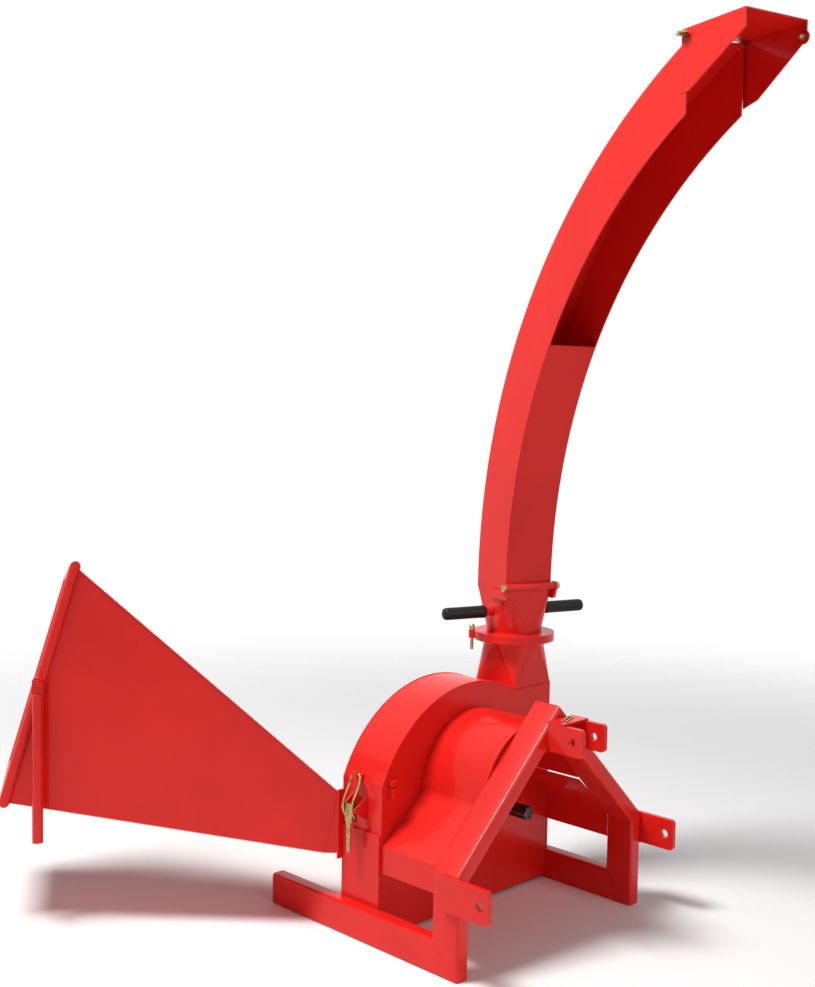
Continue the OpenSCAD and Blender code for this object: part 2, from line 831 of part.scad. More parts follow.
// A flange with lugs for the lock pin
module flange_ring(bore, lugs) {
    difference() {
        union() {
            cylinder(h = flange_t, d = flange_d, $fn = 128);
            for (a = lugs) rotate(a) translate([lug_r - 20, -lock_d, 0]) cube([20, 2 * lock_d, flange_t]);
            for (a = lugs) rotate(a) translate([lug_r, 0, 0]) cylinder(h = flange_t, r = lock_d);
        }
        translate([0, 0, -over]) cylinder(h = flange_t + 2 * over, r = bore, $fn = 128);
        for (a = lugs) rotate(a) translate([lug_r, 0, -over])
            cylinder(h = flange_t + 2 * over, d = lock_d + 2 * turn_gap);
    }
}

module spout_flange() {
    color(red) at_swivel() translate([0, 0, flange_z])
        flange_ring(spigot_r + turn_gap, [lock_angle]);
}

module swivel_flange() {
    color(red) at_swivel() {
        translate([0, 0, swivel_z]) flange_ring(spigot_r - neck_wall, [lock_angle]);
        translate([0, 0, flange_z - 14]) difference() {
            cylinder(h = swivel_z - flange_z + 14, r = spigot_r, $fn = 128);
            translate([0, 0, -over]) cylinder(h = 60, r = spigot_r - neck_wall, $fn = 128);
        }
    }
}

// Ring on the spigot that keeps the swivel from lifting
module swivel_ring() {
    color(steel) at_swivel() translate([0, 0, flange_z - 10]) difference() {
        cylinder(h = 10 - seat, r = spigot_r + 6);
        translate([0, 0, -over]) cylinder(h = 12, r = spigot_r);
    }
}

// Everything below is placed in the chute's own frame: X along the throw, Y across it
module at_chute() {
    at_swivel() rotate(throw_angle) children();
}

module chute_neck() {
    top_w = chute_w;
    color(red) at_chute() difference() {
        hull() {
            translate([0, 0, neck_z]) cylinder(h = 2, r = neck_r, $fn = 48);
            translate([belly_x - chute_depth, -top_w / 2, neck_top - 2]) cube([chute_depth, top_w, 2]);
        }
        hull() {
            translate([0, 0, neck_z - over]) cylinder(h = 2, r = neck_r - neck_wall, $fn = 48);
            translate([belly_x - chute_depth + neck_wall, -top_w / 2 + neck_wall, neck_top - 1])
                cube([chute_depth - 2 * neck_wall, top_w - 2 * neck_wall, 2]);
        }
    }
}

ear_y = chute_w / 2 + seat;

// Ears on the neck's sides that carry the fold bolt in front of the chute
module hinge_ears() {
    color(red) at_chute() for (y = [-ear_y, ear_y + ear_t]) translate([0, y, 0]) rotate([90, 0, 0])
        linear_extrude(ear_t) difference() {
            union() {
                polygon([
                    [hinge_x - 71, neck_top - 27], [hinge_x + 2, neck_top - 27], [hinge_x + 12, hinge_z],
                    [hinge_x - 12, hinge_z], [hinge_x - 16, neck_top - 2], [hinge_x - 71, neck_top - 2]
                ]);
                translate([hinge_x, hinge_z]) circle(12);
            }
            translate([hinge_x, hinge_z]) circle(d = fold_bolt_d + 2 * turn_gap);
        }
}

module fold_bolt() {
    w = 2 * (ear_y + ear_t);
    color(zinc) at_chute() translate([hinge_x, -w / 2, hinge_z]) rotate([90, 0, 0]) {
        hex_bolt(fold_bolt_d, w + 12);
        translate([0, 0, -w - 8]) difference() {
            cylinder(h = 8, d = fold_bolt_d * 1.8, $fn = 6);
            translate([0, 0, -over]) cylinder(h = 12, d = fold_bolt_d + 0.1);
        }
    }
}

bar_r = 12;
bar_root = 66;

// Two stubs welded to the sides of the neck, with a grip pushed over each
module turning_bar() {
    color(red) at_chute() for (s = [-1, 1]) difference() {
        translate([0, 0, bar_z]) rotate([-90 * s, 0, 0]) translate([0, 0, bar_root])
            cylinder(h = bar_len / 2 - bar_root - 6, r = bar_r);
        hull() {
            translate([0, 0, neck_z]) cylinder(h = 2, r = neck_r + 0.05, $fn = 48);
            translate([belly_x - chute_depth, -chute_w / 2 - 0.05, neck_top - 2])
                cube([chute_depth, chute_w + 0.1, 2]);
        }
    }
}

grip_root = 98;

module handle_grips() {
    color(black) at_chute() for (s = [-1, 1]) translate([0, 0, bar_z]) rotate([-90 * s, 0, 0])
        translate([0, 0, grip_root]) difference() {
            rotate_extrude() polygon([
                [0, 0], [grip_d / 2, 0], [grip_d / 2, bar_len / 2 - grip_root - 5],
                [grip_d / 2 - 5, bar_len / 2 - grip_root], [0, bar_len / 2 - grip_root]
            ]);
            translate([0, 0, -over]) cylinder(h = bar_len / 2 - grip_root - 6 + over, r = bar_r);
        }
}

// Headed lock pin through the flange lugs
module lock_pin() {
    top = swivel_z + flange_t + seat;
    color(zinc) at_swivel() rotate(lock_angle) translate([lug_r, 0, 0]) {
        translate([0, 0, flange_z - 32]) cylinder(h = top - flange_z + 32, d = lock_d);
        translate([0, 0, top]) cylinder(h = 12, d = 15);
        translate([0, 0, top + 12 - over]) cylinder(h = 4, d1 = 15, d2 = 9);
    }
}

// A curved strip of the chute between two radii, from its foot to a given angle
module chute_arc(r0, r1, y0, y1, a) {
    translate([chute_x, 0, chute_z]) rotate([90, 0, 0]) rotate([0, 0, 180 - a]) translate([0, 0, -y1])
        rotate_extrude(angle = a, $fn = 360) translate([r0, 0]) square([r1 - r0, y1 - y0]);
}

// The outlet is cut a little askew, longer on the right
chute_cut = 7.7;

module chute_end() {
    intersection() {
        children();
        translate([chute_reach, 0, 0]) rotate(-chute_cut) translate([-2 * chute_reach, -2 * chute_w, 0])
            cube([2 * chute_reach, 4 * chute_w, 3000]);
    }
}

chute_a = 75;

module chute_back() {
    color(red) at_chute() difference() {
        chute_end()
            chute_arc(chute_r - chute_t, chute_r, -chute_w / 2 + chute_t, chute_w / 2 - chute_t, chute_a);
        translate([hood_pivot[0] - 8, chute_w / 2 - chute_t - 5, hood_z - 60]) cube([40, 10, 80]);
    }
}

// Side wall with the ear that carries the hood's pivot bolt
module chute_wall(y0) {
    difference() {
        union() {
            chute_end() chute_arc(chute_in, chute_r, y0, y0 + chute_t, chute_a);
            translate([0, y0 + chute_t, 0]) rotate([90, 0, 0]) linear_extrude(chute_t) translate(hood_pivot) {
                circle(8.5);
                polygon([[-42, -30], [-5, 6.5], [6.5, -5], [-16, -50]]);
            }
        }
        translate([hood_pivot[0], y0 - over, hood_pivot[1]]) rotate([-90, 0, 0])
            cylinder(h = chute_t + 2 * over, d = hood_bolt_d + 2 * turn_gap);
    }
}

module chute_left_wall() color(red) at_chute() chute_wall(-chute_w / 2);
module chute_right_wall() color(red) at_chute() chute_wall(chute_w / 2 - chute_t);

module chute_belly() {
    color(red) at_chute()
        chute_arc(chute_in, chute_in + chute_t, -chute_w / 2 + chute_t, chute_w / 2 - chute_t, belly_angle);
}

// Barrel on the front of the chute's foot
module fold_barrel() {
    color(red) at_chute() translate([hinge_x, -chute_w / 2, hinge_z]) rotate([-90, 0, 0]) difference() {
        cylinder(h = chute_w, d = hinge_d);
        translate([0, 0, -over]) cylinder(h = chute_w + 2 * over, d = fold_bolt_d + 2 * turn_gap);
    }
}

// Deflector hood: a roof and two cheeks that stand clear of the chute's walls
hood_eye = [hood_x0 + hood_len - 7, hood_z - 35];

module hood_left_cheek() {
    x1 = hood_x0 + hood_len;
    polygon([
        [hood_x0 + 2, hood_z - 137], [hood_x0, hood_z], [x1, hood_z], [x1, hood_z - 40],
        [hood_x0 + 25, hood_z - 135]
    ]);
}

module hood_right_cheek() {
    x1 = hood_x0 + hood_len;
    polygon([
        [hood_x0 + 12, hood_z - 149], [hood_x0 + 6, hood_z - 40], [hood_x0, hood_z - 26], [hood_x0, hood_z],
        [x1, hood_z], [x1, hood_z - 40], [hood_x0 + 55, hood_z - 138]
    ]);
    translate(hood_eye) circle(14);
}

module chute_hood() {
    color(red) at_chute() difference() {
        union() {
            translate([0, -hood_side, 0]) rotate([90, 0, 0]) linear_extrude(chute_t) hood_left_cheek();
            translate([0, hood_side + chute_t, 0]) rotate([90, 0, 0]) linear_extrude(chute_t)
                hood_right_cheek();
            translate([hood_x0, -hood_side - chute_t, hood_z - chute_t])
                cube([hood_len, 2 * (hood_side + chute_t), chute_t]);
        }
        translate([hood_pivot[0], -chute_w, hood_pivot[1]]) rotate([-90, 0, 0])
            cylinder(h = 2 * chute_w, d = hood_bolt_d + 2 * turn_gap);
        translate([hood_eye[0], 0, hood_eye[1]]) rotate([-90, 0, 0])
            cylinder(h = chute_w, d = hood_bolt_d + 0.6);
    }
}

// Bolt with its nut at the front corner of the right cheek
module hood_corner_bolt() {
    color(zinc) at_chute() translate([hood_eye[0], hood_side + chute_t + seat, hood_eye[1]])
        rotate([-90, 0, 0]) {
            hex_bolt(hood_bolt_d, chute_t + 14);
            translate([0, 0, -chute_t - 2 * seat - 7]) difference() {
                cylinder(h = 7, d = hood_bolt_d * 1.8, $fn = 6);
                translate([0, 0, -over]) cylinder(h = 9, d = hood_bolt_d + 0.1);
            }
        }
}

// Pivot bolts of the hood, headed inside, with a collar and a wing nut on the outside
module hood_bolts() {
    y = hood_side + chute_t;
    color(zinc) at_chute() for (s = [-1, 1])
    translate([hood_pivot[0], 0, hood_pivot[1]]) rotate([-90 * s, 0, 0]) {
        translate([0, 0, chute_w / 2 - chute_t - 4]) cylinder(h = 4, d = 13);
        translate([0, 0, chute_w / 2 - chute_t])
            cylinder(h = y + 20 - chute_w / 2 + chute_t, d = hood_bolt_d);
        translate([0, 0, chute_w / 2 + seat]) cylinder(h = hood_side - chute_w / 2 - 2 * seat, d = 14);
        translate([0, 0, y + seat]) cylinder(h = 8, d = 15);
        for (m = [-1, 1]) translate([m * 9, 1.5, y + seat + 9]) rotate([90, 0, 0]) cylinder(h = 3, d = 15);
    }
}

// Everything below is laid out along the feed
module at_feed() {
    rotate(feed_angle) children();
}

// The feed duct's section, grown outwards by t
module duct_section(t) {
    rise = t * sqrt(1 + roof_slope * roof_slope);
    polygon([
        [-throat_near + t, throat_z0 - t], [-throat_near + t, throat_z1 + rise + t * roof_slope],
        [-throat_far - t, throat_z1 - roof_fall + rise - t * roof_slope], [-throat_far - t, throat_z0 - t]
    ]);
}

// Duct from the rear plate to the hopper, cut flush on the plate
module hopper_throat() {
    color(red) intersection() {
        at_feed() difference() {
            along(throat_reach - 300, throat_low + 60) duct_section(duct_t);
            along(throat_reach - 301, throat_low + 61) duct_section(0);
            translate([throat_reach, 0, throat_z1]) rotate([0, -throat_lean, 0])
                translate([0, -base_w, -base_w]) cube(2 * base_w);
        }
        translate([-2 * base_w, housing_back, 0]) cube([4 * base_w, 2 * base_w, base_w]);
    }
}

// One planar panel, mitred against its neighbours and stopped short of the rim tube
module hopper_panel(i) {
    last = sides[(i + 3) % 4];
    next = sides[(i + 1) % 4];
    lean = sides[i][0] * rim_end[0];
    clear = sqrt(pow(rim_d / 2 + 0.5, 2) - pow(hopper_t / 2, 2));
    stop = shift(rim_end, -(clear * sqrt(1 - lean * lean) + hopper_t / 2 * abs(lean)));
    pts = [for (t = [0, hopper_t], e = [0, 1])
        let (p = shift(sides[i], t), q = e == 0 ? throat_end : stop)
            [meet(p, shift(last, t), q), meet(p, shift(next, t), q)]];
    color(red) at_feed() polyhedron(
        [pts[0][0], pts[0][1], pts[1][1], pts[1][0], pts[2][0], pts[2][1], pts[3][1], pts[3][0]],
        [[3, 2, 1, 0], [4, 5, 6, 7], [1, 5, 4, 0], [2, 6, 5, 1], [3, 7, 6, 2], [0, 4, 7, 3]]
    );
}

module hopper_near_panel() hopper_panel(0);
module hopper_floor() hopper_panel(1);
module hopper_far_panel() hopper_panel(2);
module hopper_roof() hopper_panel(3);

// The rim lies in one leaning plane, seen here as Y across it and Z up the lean
rim_out = rim_end[0];
rim_across = unit(cross([0, 0, 1], rim_out));
rim_flat = [for (p = rim) [(p - rim_mid) * rim_across, (p - rim_mid) * cross(rim_out, rim_across)]];
function mitre(i) =
    unit(unit(rim_flat[(i + 1) % 4] - rim_flat[i]) + unit(rim_flat[(i + 3) % 4] - rim_flat[i]));

module at_rim() {
    at_feed() translate(rim_mid) rotate([0, -asin(rim_out[2]), atan2(rim_out[1], rim_out[0])])
        children();
}

// A straight run of the rim tube, cut along the mitres at its two ends
module rim_run(i) {
    j = (i + 1) % 4;
    a = rim_flat[i];
    b = rim_flat[j];
    d = unit(b - a) * 3 * rim_d;
    k = 3 * rim_d;
    // The runs stand a hair apart at their mitres
    e = unit(b - a) * 0.05;
    intersection() {
        bar([0, a[0] - d[0], a[1] - d[1]], [0, b[0] + d[0], b[1] + d[1]], rim_d / 2);
        along(-rim_d, rim_d) polygon([
            a + e + k * mitre(i), a + e - k * mitre(i), b - e - k * mitre(j), b - e + k * mitre(j)
        ]);
    }
}

module hopper_rim() {
    color(red) at_rim() for (i = [0:3]) rim_run(i);
}

// Swing bar: a straight round bar that hangs from one pivot beside the rim
swing_x = rim_reach - (swing_z - rim_low) * tan(rim_lean);
swing_gap = 0.6;
swing_y = rim[3][1] + rim_d / 2 + swing_d / 2 + swing_gap;
eye_t = 8;

module at_swing() {
    at_feed() translate([swing_x, swing_y, swing_z]) children();
}

module swing_bar() {
    color(red) at_swing() {
        translate([0, eye_t / 2, 0]) rotate([90, 0, 0]) linear_extrude(eye_t) difference() {
            union() {
                circle(d = swing_d);
                translate([-swing_d / 2, -46]) square([swing_d, 46]);
            }
            circle(d = swing_bolt_d + 2 * turn_gap);
        }
        translate([0, 0, swing_low - swing_z]) cylinder(h = swing_z - 30 - swing_low, d = swing_d);
    }
}

// Boss saddled on the rim's near upright
module bar_boss() {
    color(red) difference() {
        at_swing() translate([0, -eye_t / 2 - seat, 0]) rotate([90, 0, 0]) difference() {
            cylinder(h = swing_y - rim[3][1] - eye_t / 2 - seat, d = swing_d - 5);
            translate([0, 0, -over]) cylinder(h = 2 * rim_d, d = swing_bolt_d + 0.1);
        }
        hopper_rim();
    }
}

module bar_bolt() {
    color(red) at_swing() translate([0, eye_t / 2 + seat, 0]) rotate([-90, 0, 0])
        hex_bolt(swing_bolt_d, eye_t + 9);
}

// Moves a piece to the origin midway between the lower hitch holes
module from_hitch() {
    translate([0, hitch_reach, -lower_hole_z]) children();
}

from_hitch() left_skid();
from_hitch() right_skid();
from_hitch() left_post();
from_hitch() right_post();
from_hitch() left_frame_leg();
from_hitch() right_frame_leg();
from_hitch() lower_hitch_plates();
from_hitch() top_hitch_ears();
from_hitch() top_hitch_cap();
from_hitch() hitch_clip();
from_hitch() drive_guard();
from_hitch() lower_housing();
from_hitch() wall_doublers();
from_hitch() rotor_trough();
from_hitch() front_bearing();
from_hitch() rear_bearing();
from_hitch() bearing_bolts();
from_hitch() rotor_shaft();
from_hitch() rotor_disc();
from_hitch() rotor_hub();
from_hitch() hub_bolts();
from_hitch() knives();
from_hitch() knife_bolts();
from_hitch() fan_paddles();
from_hitch() bed_knife();
from_hitch() bed_knife_bolts();
from_hitch() upper_housing();
from_hitch() housing_hinge();
from_hitch() housing_hinge_leaf();
from_hitch() latch_bracket();
from_hitch() latch_lever();
from_hitch() latch_bail();
from_hitch() latch_keeper();
from_hitch() spout_transition();
from_hitch() spout_flange();
from_hitch() swivel_flange();
from_hitch() swivel_ring();
from_hitch() chute_neck();
from_hitch() hinge_ears();
from_hitch() fold_bolt();
from_hitch() turning_bar();
from_hitch() handle_grips();
from_hitch() lock_pin();
from_hitch() chute_back();
from_hitch() chute_left_wall();
from_hitch() chute_right_wall();
from_hitch() chute_belly();
from_hitch() fold_barrel();
from_hitch() chute_hood();
from_hitch() hood_bolts();
from_hitch() hood_corner_bolt();
from_hitch() hopper_throat();
from_hitch() hopper_near_panel();
from_hitch() hopper_far_panel();
from_hitch() hopper_floor();
from_hitch() hopper_roof();
from_hitch() hopper_rim();
from_hitch() bar_boss();
from_hitch() bar_bolt();
from_hitch() swing_bar();
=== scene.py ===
"""Looks of a tractor-mounted disc wood chipper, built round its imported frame."""

import json
import logging
import math
from dataclasses import dataclass, field
from enum import Enum
from typing import Any, Iterable, Sequence

import bmesh
import bpy
from mathutils import Matrix, Vector


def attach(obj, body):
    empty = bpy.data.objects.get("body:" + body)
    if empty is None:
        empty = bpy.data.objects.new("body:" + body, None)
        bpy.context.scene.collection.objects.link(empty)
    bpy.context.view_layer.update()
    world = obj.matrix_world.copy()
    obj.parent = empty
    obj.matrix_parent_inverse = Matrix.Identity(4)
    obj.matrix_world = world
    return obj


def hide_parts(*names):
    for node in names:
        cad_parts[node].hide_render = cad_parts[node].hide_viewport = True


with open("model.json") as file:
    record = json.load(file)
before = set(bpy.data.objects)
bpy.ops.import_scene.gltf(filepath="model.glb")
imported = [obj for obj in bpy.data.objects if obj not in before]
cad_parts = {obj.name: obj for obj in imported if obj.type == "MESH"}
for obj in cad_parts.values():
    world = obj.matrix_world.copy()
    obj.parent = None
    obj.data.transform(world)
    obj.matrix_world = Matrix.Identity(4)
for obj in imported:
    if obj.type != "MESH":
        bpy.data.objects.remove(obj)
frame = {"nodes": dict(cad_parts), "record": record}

LOG = logging.getLogger("wood_chipper")
Point = tuple[float, float, float]
Colour = tuple[float, float, float]
Path = list[Point]
Plane = tuple[Vector, float]
Face = tuple[int, ...]
SIDES = (-1, 1)
# Sizes below start from the ground under the posts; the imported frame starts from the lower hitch.
HITCH = Vector((0.0, 0.073, -0.204))


class Body(Enum):
    """Rigid bodies that a piece can ride on."""

    FRAME = "frame"
    UPPER = "upper_housing"
    SWIVEL = "swivel"
    CHUTE = "chute"
    BAIL = "latch_bail"


class Slot(Enum):
    """Material slots of the record."""

    PAINT = "red_paint"
    ZINC = "gold_zinc"
    STEEL = "dark_steel"
    TOOL = "tool_steel"
    CAST = "cast_grey"
    RUBBER = "grip_rubber"


class Value:
    """A node socket that takes part in Python arithmetic."""

    def __init__(self, graph: "Graph", socket: Any) -> None:
        """Keeps the graph that owns the socket."""
        self.graph = graph
        self.socket = socket

    def _math(self, operation: str, first: Any, second: Any) -> "Value":
        """Adds one Math node."""
        return self.graph.add("ShaderNodeMath", {"operation": operation}, {0: first, 1: second})

    def __add__(self, other: Any) -> "Value":
        """Sum."""
        return self._math("ADD", self, other)

    def __radd__(self, other: Any) -> "Value":
        """Reflected sum."""
        return self._math("ADD", other, self)

    def __sub__(self, other: Any) -> "Value":
        """Difference."""
        return self._math("SUBTRACT", self, other)

    def __rsub__(self, other: Any) -> "Value":
        """Reflected difference."""
        return self._math("SUBTRACT", other, self)

    def __mul__(self, other: Any) -> "Value":
        """Product."""
        return self._math("MULTIPLY", self, other)

    def __rmul__(self, other: Any) -> "Value":
        """Reflected product."""
        return self._math("MULTIPLY", other, self)


class Graph:
    """A node tree with one way to add a node."""

    def __init__(self, tree: bpy.types.NodeTree) -> None:
        """Starts from an empty tree."""
        self.tree = tree
        tree.nodes.clear()

    def add(self, kind: str, settings: dict[str, Any] | None = None,
            sockets: dict[Any, Any] | None = None, output: Any = 0) -> Value:
        """Adds a node, sets it up and feeds its sockets.

        Args:
            kind: The node's type name.
            settings: Node properties, set before the sockets; "stops" fills a colour ramp.
            sockets: Values or links by socket name or index.
            output: Name or index of the output to hand back.

        Returns:
            The chosen output, or the node's first one.
        """
        node = self.tree.nodes.new(kind)
        for name, value in (settings or {}).items():
            if name == "stops":
                self._fill(node.color_ramp, value)
            else:
                setattr(node, name, value)
        for key, value in (sockets or {}).items():
            target = node.inputs[key]
            if isinstance(value, Value):
                self.tree.links.new(value.socket, target)
            else:
                target.default_value = value
        return Value(self, node.outputs[output] if len(node.outputs) else None)

    @staticmethod
    def _fill(ramp: bpy.types.ColorRamp, stops: Sequence[tuple[float, Colour]]) -> None:
        """Gives a colour ramp its stops.

        Args:
            ramp: The ramp of a new node.
            stops: Place and colour of each stop.
        """
        while len(ramp.elements) < len(stops):
            ramp.elements.new(1.0)
        for element, (place, colour) in zip(ramp.elements, stops):
            element.position = place
            element.color = (*colour, 1.0)

    def outputs(self, kind: str, names: Iterable[str]) -> list[Value]:
        """Adds a node and hands back several of its outputs."""
        node = self.add(kind).socket.node
        return [Value(self, node.outputs[name]) for name in names]

    def blend(self, factor: Any, first: Any, second: Any) -> Value:
        """Mixes two colours by a factor."""
        first, second = (c if isinstance(c, Value) else (*c, 1.0) for c in (first, second))
        return self.add("ShaderNodeMix", {"data_type": "RGBA"}, {0: factor, 6: first, 7: second}, 2)

    def place(self) -> Value:
        """Object coordinates."""
        return self.add("ShaderNodeTexCoord", output="Object")

    def noise(self, scale: float, detail: float) -> Value:
        """Noise between about 0 and 1 at a scale per metre."""
        return self.add("ShaderNodeTexNoise", None,
                        {"Vector": self.place(), "Scale": scale, "Detail": detail})

    def wave(self, direction: str, scale: float, distortion: float, detail: float) -> Value:
        """Wavering bands between 0 and 1 along a direction."""
        return self.add("ShaderNodeTexWave", {"bands_direction": direction}, {
            "Vector": self.place(), "Scale": scale, "Distortion": distortion, "Detail": detail}, "Fac")

    def band(self, value: Value, low: float, high: float) -> Value:
        """Smooth step of a value from low to high."""
        return self.add("ShaderNodeMapRange", {"interpolation_type": "SMOOTHSTEP"},
                        {"Value": value, "From Min": low, "From Max": high})


@dataclass(frozen=True)
class Mask:
    """Patches of noise, cut softly between two levels."""

    scale: float
    detail: float
    low: float
    high: float

    def on(self, graph: Graph) -> Value:
        """The mask from 0 to 1 over the surface."""
        return graph.band(graph.noise(self.scale, self.detail), self.low, self.high)


@dataclass(frozen=True)
class Finish:
    """Common part of every finish: rounded edges and a fine relief."""

    slot: Slot
    edge: float = 0.0012
    edge_samples: int = 4
    depth: float = 0.0001
    strength: float = 0.5

    def material(self) -> bpy.types.Material:
        """Builds the material.

        Returns:
            The finished node material.
        """
        made = bpy.data.materials.new(self.slot.value)
        made.use_nodes = True
        graph = Graph(made.node_tree)
        shader = graph.add("ShaderNodeBsdfPrincipled", None, self.paint(graph))
        graph.add("ShaderNodeOutputMaterial", None, {"Surface": shader})
        return made

    def paint(self, graph: Graph) -> dict[str, Any]:
        """What the shader's sockets take; each finish has its own."""
        raise NotImplementedError

    def relief(self, graph: Graph, height: Value) -> Value:
        """Softens the edges and adds a relief.

        Args:
            graph: The material's graph.
            height: Relief from 0 to 1.

        Returns:
            The normal for the shader.
        """
        soft = graph.add("ShaderNodeBevel", {"samples": self.edge_samples}, {"Radius": self.edge})
        return graph.add("ShaderNodeBump", None, {
            "Strength": self.strength, "Distance": self.depth, "Height": height, "Normal": soft})


@dataclass(frozen=True)
class RedPaint(Finish):
    """Glossy red powder coat with orange peel, faint scuffs and a little dust."""

    slot: Slot = Slot.PAINT
    depth: float = 0.00012
    strength: float = 0.6
    fresh: Colour = (0.78, 0.016, 0.0105)
    deep: Colour = (0.70, 0.012, 0.0080)
    dust: Colour = (0.55, 0.12, 0.09)
    tone: Mask = Mask(3.2, 3.0, 0.3, 0.7)
    scuffs: Mask = Mask(38.0, 6.0, 0.62, 0.78)
    specks: Mask = Mask(420.0, 2.0, 0.70, 0.80)
    dusting: float = 0.04
    peel_scale: float = 520.0

    def paint(self, graph: Graph) -> dict[str, Any]:
        """Makes the paint.

        Args:
            graph: The material's graph.

        Returns:
            Values of the shader's sockets by name.
        """
        tone, scuffs, specks = (mask.on(graph) for mask in (self.tone, self.scuffs, self.specks))
        colour = graph.blend(tone, self.deep, self.fresh)
        colour = graph.blend(scuffs * self.dusting + specks * self.dusting, colour, self.dust)
        return {
            "Base Color": colour,
            "Roughness": 0.28 + scuffs * 0.08 + tone * 0.05,
            "Coat Weight": 0.22 - scuffs * 0.05,
            "Coat Roughness": 0.05,
            "IOR": 1.33,
            "Specular IOR Level": 0.35,
            "Normal": self.relief(graph, graph.noise(self.peel_scale, 1.0)),
        }


@dataclass(frozen=True)
class ZincPlate(Finish):
    """Yellow passivated zinc with its rainbow tints."""

    slot: Slot = Slot.ZINC
    edge: float = 0.0006
    depth: float = 0.00006
    tint_scale: float = 55.0
    grain_scale: float = 600.0
    tints: tuple[tuple[float, Colour], ...] = (
        (0.32, (0.26, 0.17, 0.06)),
        (0.44, (0.52, 0.40, 0.19)),
        (0.56, (0.36, 0.32, 0.18)),
        (0.70, (0.46, 0.28, 0.15)),
    )

    def paint(self, graph: Graph) -> dict[str, Any]:
        """Makes the plated steel.

        Args:
            graph: The material's graph.

        Returns:
            Values of the shader's sockets by name.
        """
        tint = graph.noise(self.tint_scale, 3.0)
        grain = graph.noise(self.grain_scale, 3.0)
        return {
            "Base Color": graph.add("ShaderNodeValToRGB", {"stops": self.tints}, {"Fac": tint}),
            "Metallic": 1.0,
            "Roughness": 0.26 + grain * 0.16,
            "Normal": self.relief(graph, grain),
        }


@dataclass(frozen=True)
class OiledSteel(Finish):
    """Dark machined steel with oil marks."""

    slot: Slot = Slot.STEEL
    depth: float = 0.00005
    bright: Colour = (0.13, 0.115, 0.105)
    dull: Colour = (0.040, 0.032, 0.028)
    stains: Mask = Mask(26.0, 5.0, 0.35, 0.68)
    lathe_scale: float = 300.0

    def paint(self, graph: Graph) -> dict[str, Any]:
        """Makes the oiled steel.

        Args:
            graph: The material's graph.

        Returns:
            Values of the shader's sockets by name.
        """
        stains = self.stains.on(graph)
        return {
            "Base Color": graph.blend(stains, self.bright, self.dull),
            "Metallic": 0.92,
            "Roughness": 0.30 + stains * 0.25,
            "Normal": self.relief(graph, graph.wave("Y", self.lathe_scale, 1.5, 2.0)),
        }


@dataclass(frozen=True)
class GroundSteel(Finish):
    """Bright ground tool steel."""

    slot: Slot = Slot.TOOL
    edge: float = 0.0005
    depth: float = 0.00004
    dull: Colour = (0.56, 0.57, 0.59)
    bright: Colour = (0.74, 0.75, 0.77)
    cloud_scale: float = 18.0
    line_scale: float = 420.0

    def paint(self, graph: Graph) -> dict[str, Any]:
        """Makes the ground steel.

        Args:
            graph: The material's graph.

        Returns:
            Values of the shader's sockets by name.
        """
        lines = graph.wave("DIAGONAL", self.line_scale, 2.0, 3.0)
        return {
            "Base Color": graph.blend(graph.noise(self.cloud_scale, 4.0), self.dull, self.bright),
            "Metallic": 1.0,
            "Roughness": 0.20 + lines * 0.12,
            "Normal": self.relief(graph, lines),
        }


@dataclass(frozen=True)
class CastIron(Finish):
    """Sand-cast grey iron."""

    slot: Slot = Slot.CAST
    depth: float = 0.0003
    strength: float = 0.7
    iron: Colour = (0.115, 0.118, 0.122)
    rust: Colour = (0.18, 0.10, 0.06)
    rusting: Mask = Mask(14.0, 5.0, 0.55, 0.75)
    sand_scale: float = 650.0

    def paint(self, graph: Graph) -> dict[str, Any]:
        """Makes the cast iron.

        Args:
            graph: The material's graph.

        Returns:
            Values of the shader's sockets by name.
        """
        sand = graph.noise(self.sand_scale, 5.0)
        return {
            "Base Color": graph.blend(self.rusting.on(graph) * 0.35, self.iron, self.rust),
            "Metallic": 0.55,
            "Roughness": 0.55 + sand * 0.2,
            "Normal": self.relief(graph, sand),
        }


@dataclass(frozen=True)
class GripRubber(Finish):
    """Matt black moulded rubber."""

    slot: Slot = Slot.RUBBER
    depth: float = 0.00015
    strength: float = 0.6
    black: Colour = (0.005, 0.005, 0.006)
    grey: Colour = (0.016, 0.016, 0.017)
    bloom: Mask = Mask(30.0, 4.0, 0.45, 0.75)
    grain_scale: float = 900.0

    def paint(self, graph: Graph) -> dict[str, Any]:
        """Makes the rubber.

        Args:
            graph: The material's graph.

        Returns:
            Values of the shader's sockets by name.
        """
        grain = graph.noise(self.grain_scale, 3.0)
        return {
            "Base Color": graph.blend(self.bloom.on(graph) * 0.5, self.black, self.grey),
            "Roughness": 0.42 + grain * 0.2,
            "Specular IOR Level": 0.25,
            "Normal": self.relief(graph, grain),
        }


@dataclass
class Finishes:
    """Every finish of the chipper, as built materials by slot."""

    built: dict[Slot, bpy.types.Material] = field(default_factory=dict)

    def build(self) -> None:
        """Builds all materials."""
        for kind in (RedPaint, ZincPlate, OiledSteel, GroundSteel, CastIron, GripRubber):
            finish = kind()
            self.built[finish.slot] = finish.material()

    def dress_nodes(self) -> None:
        """Gives every CAD node the material of its slot."""
        slots = {part["node"]: part["material_slot"] for part in frame["record"]["subparts"]}
        for name, node in frame["nodes"].items():
            node.data.materials.clear()
            node.data.materials.append(self.built[Slot(slots[name])])
            LOG.info("dressed %s", name)


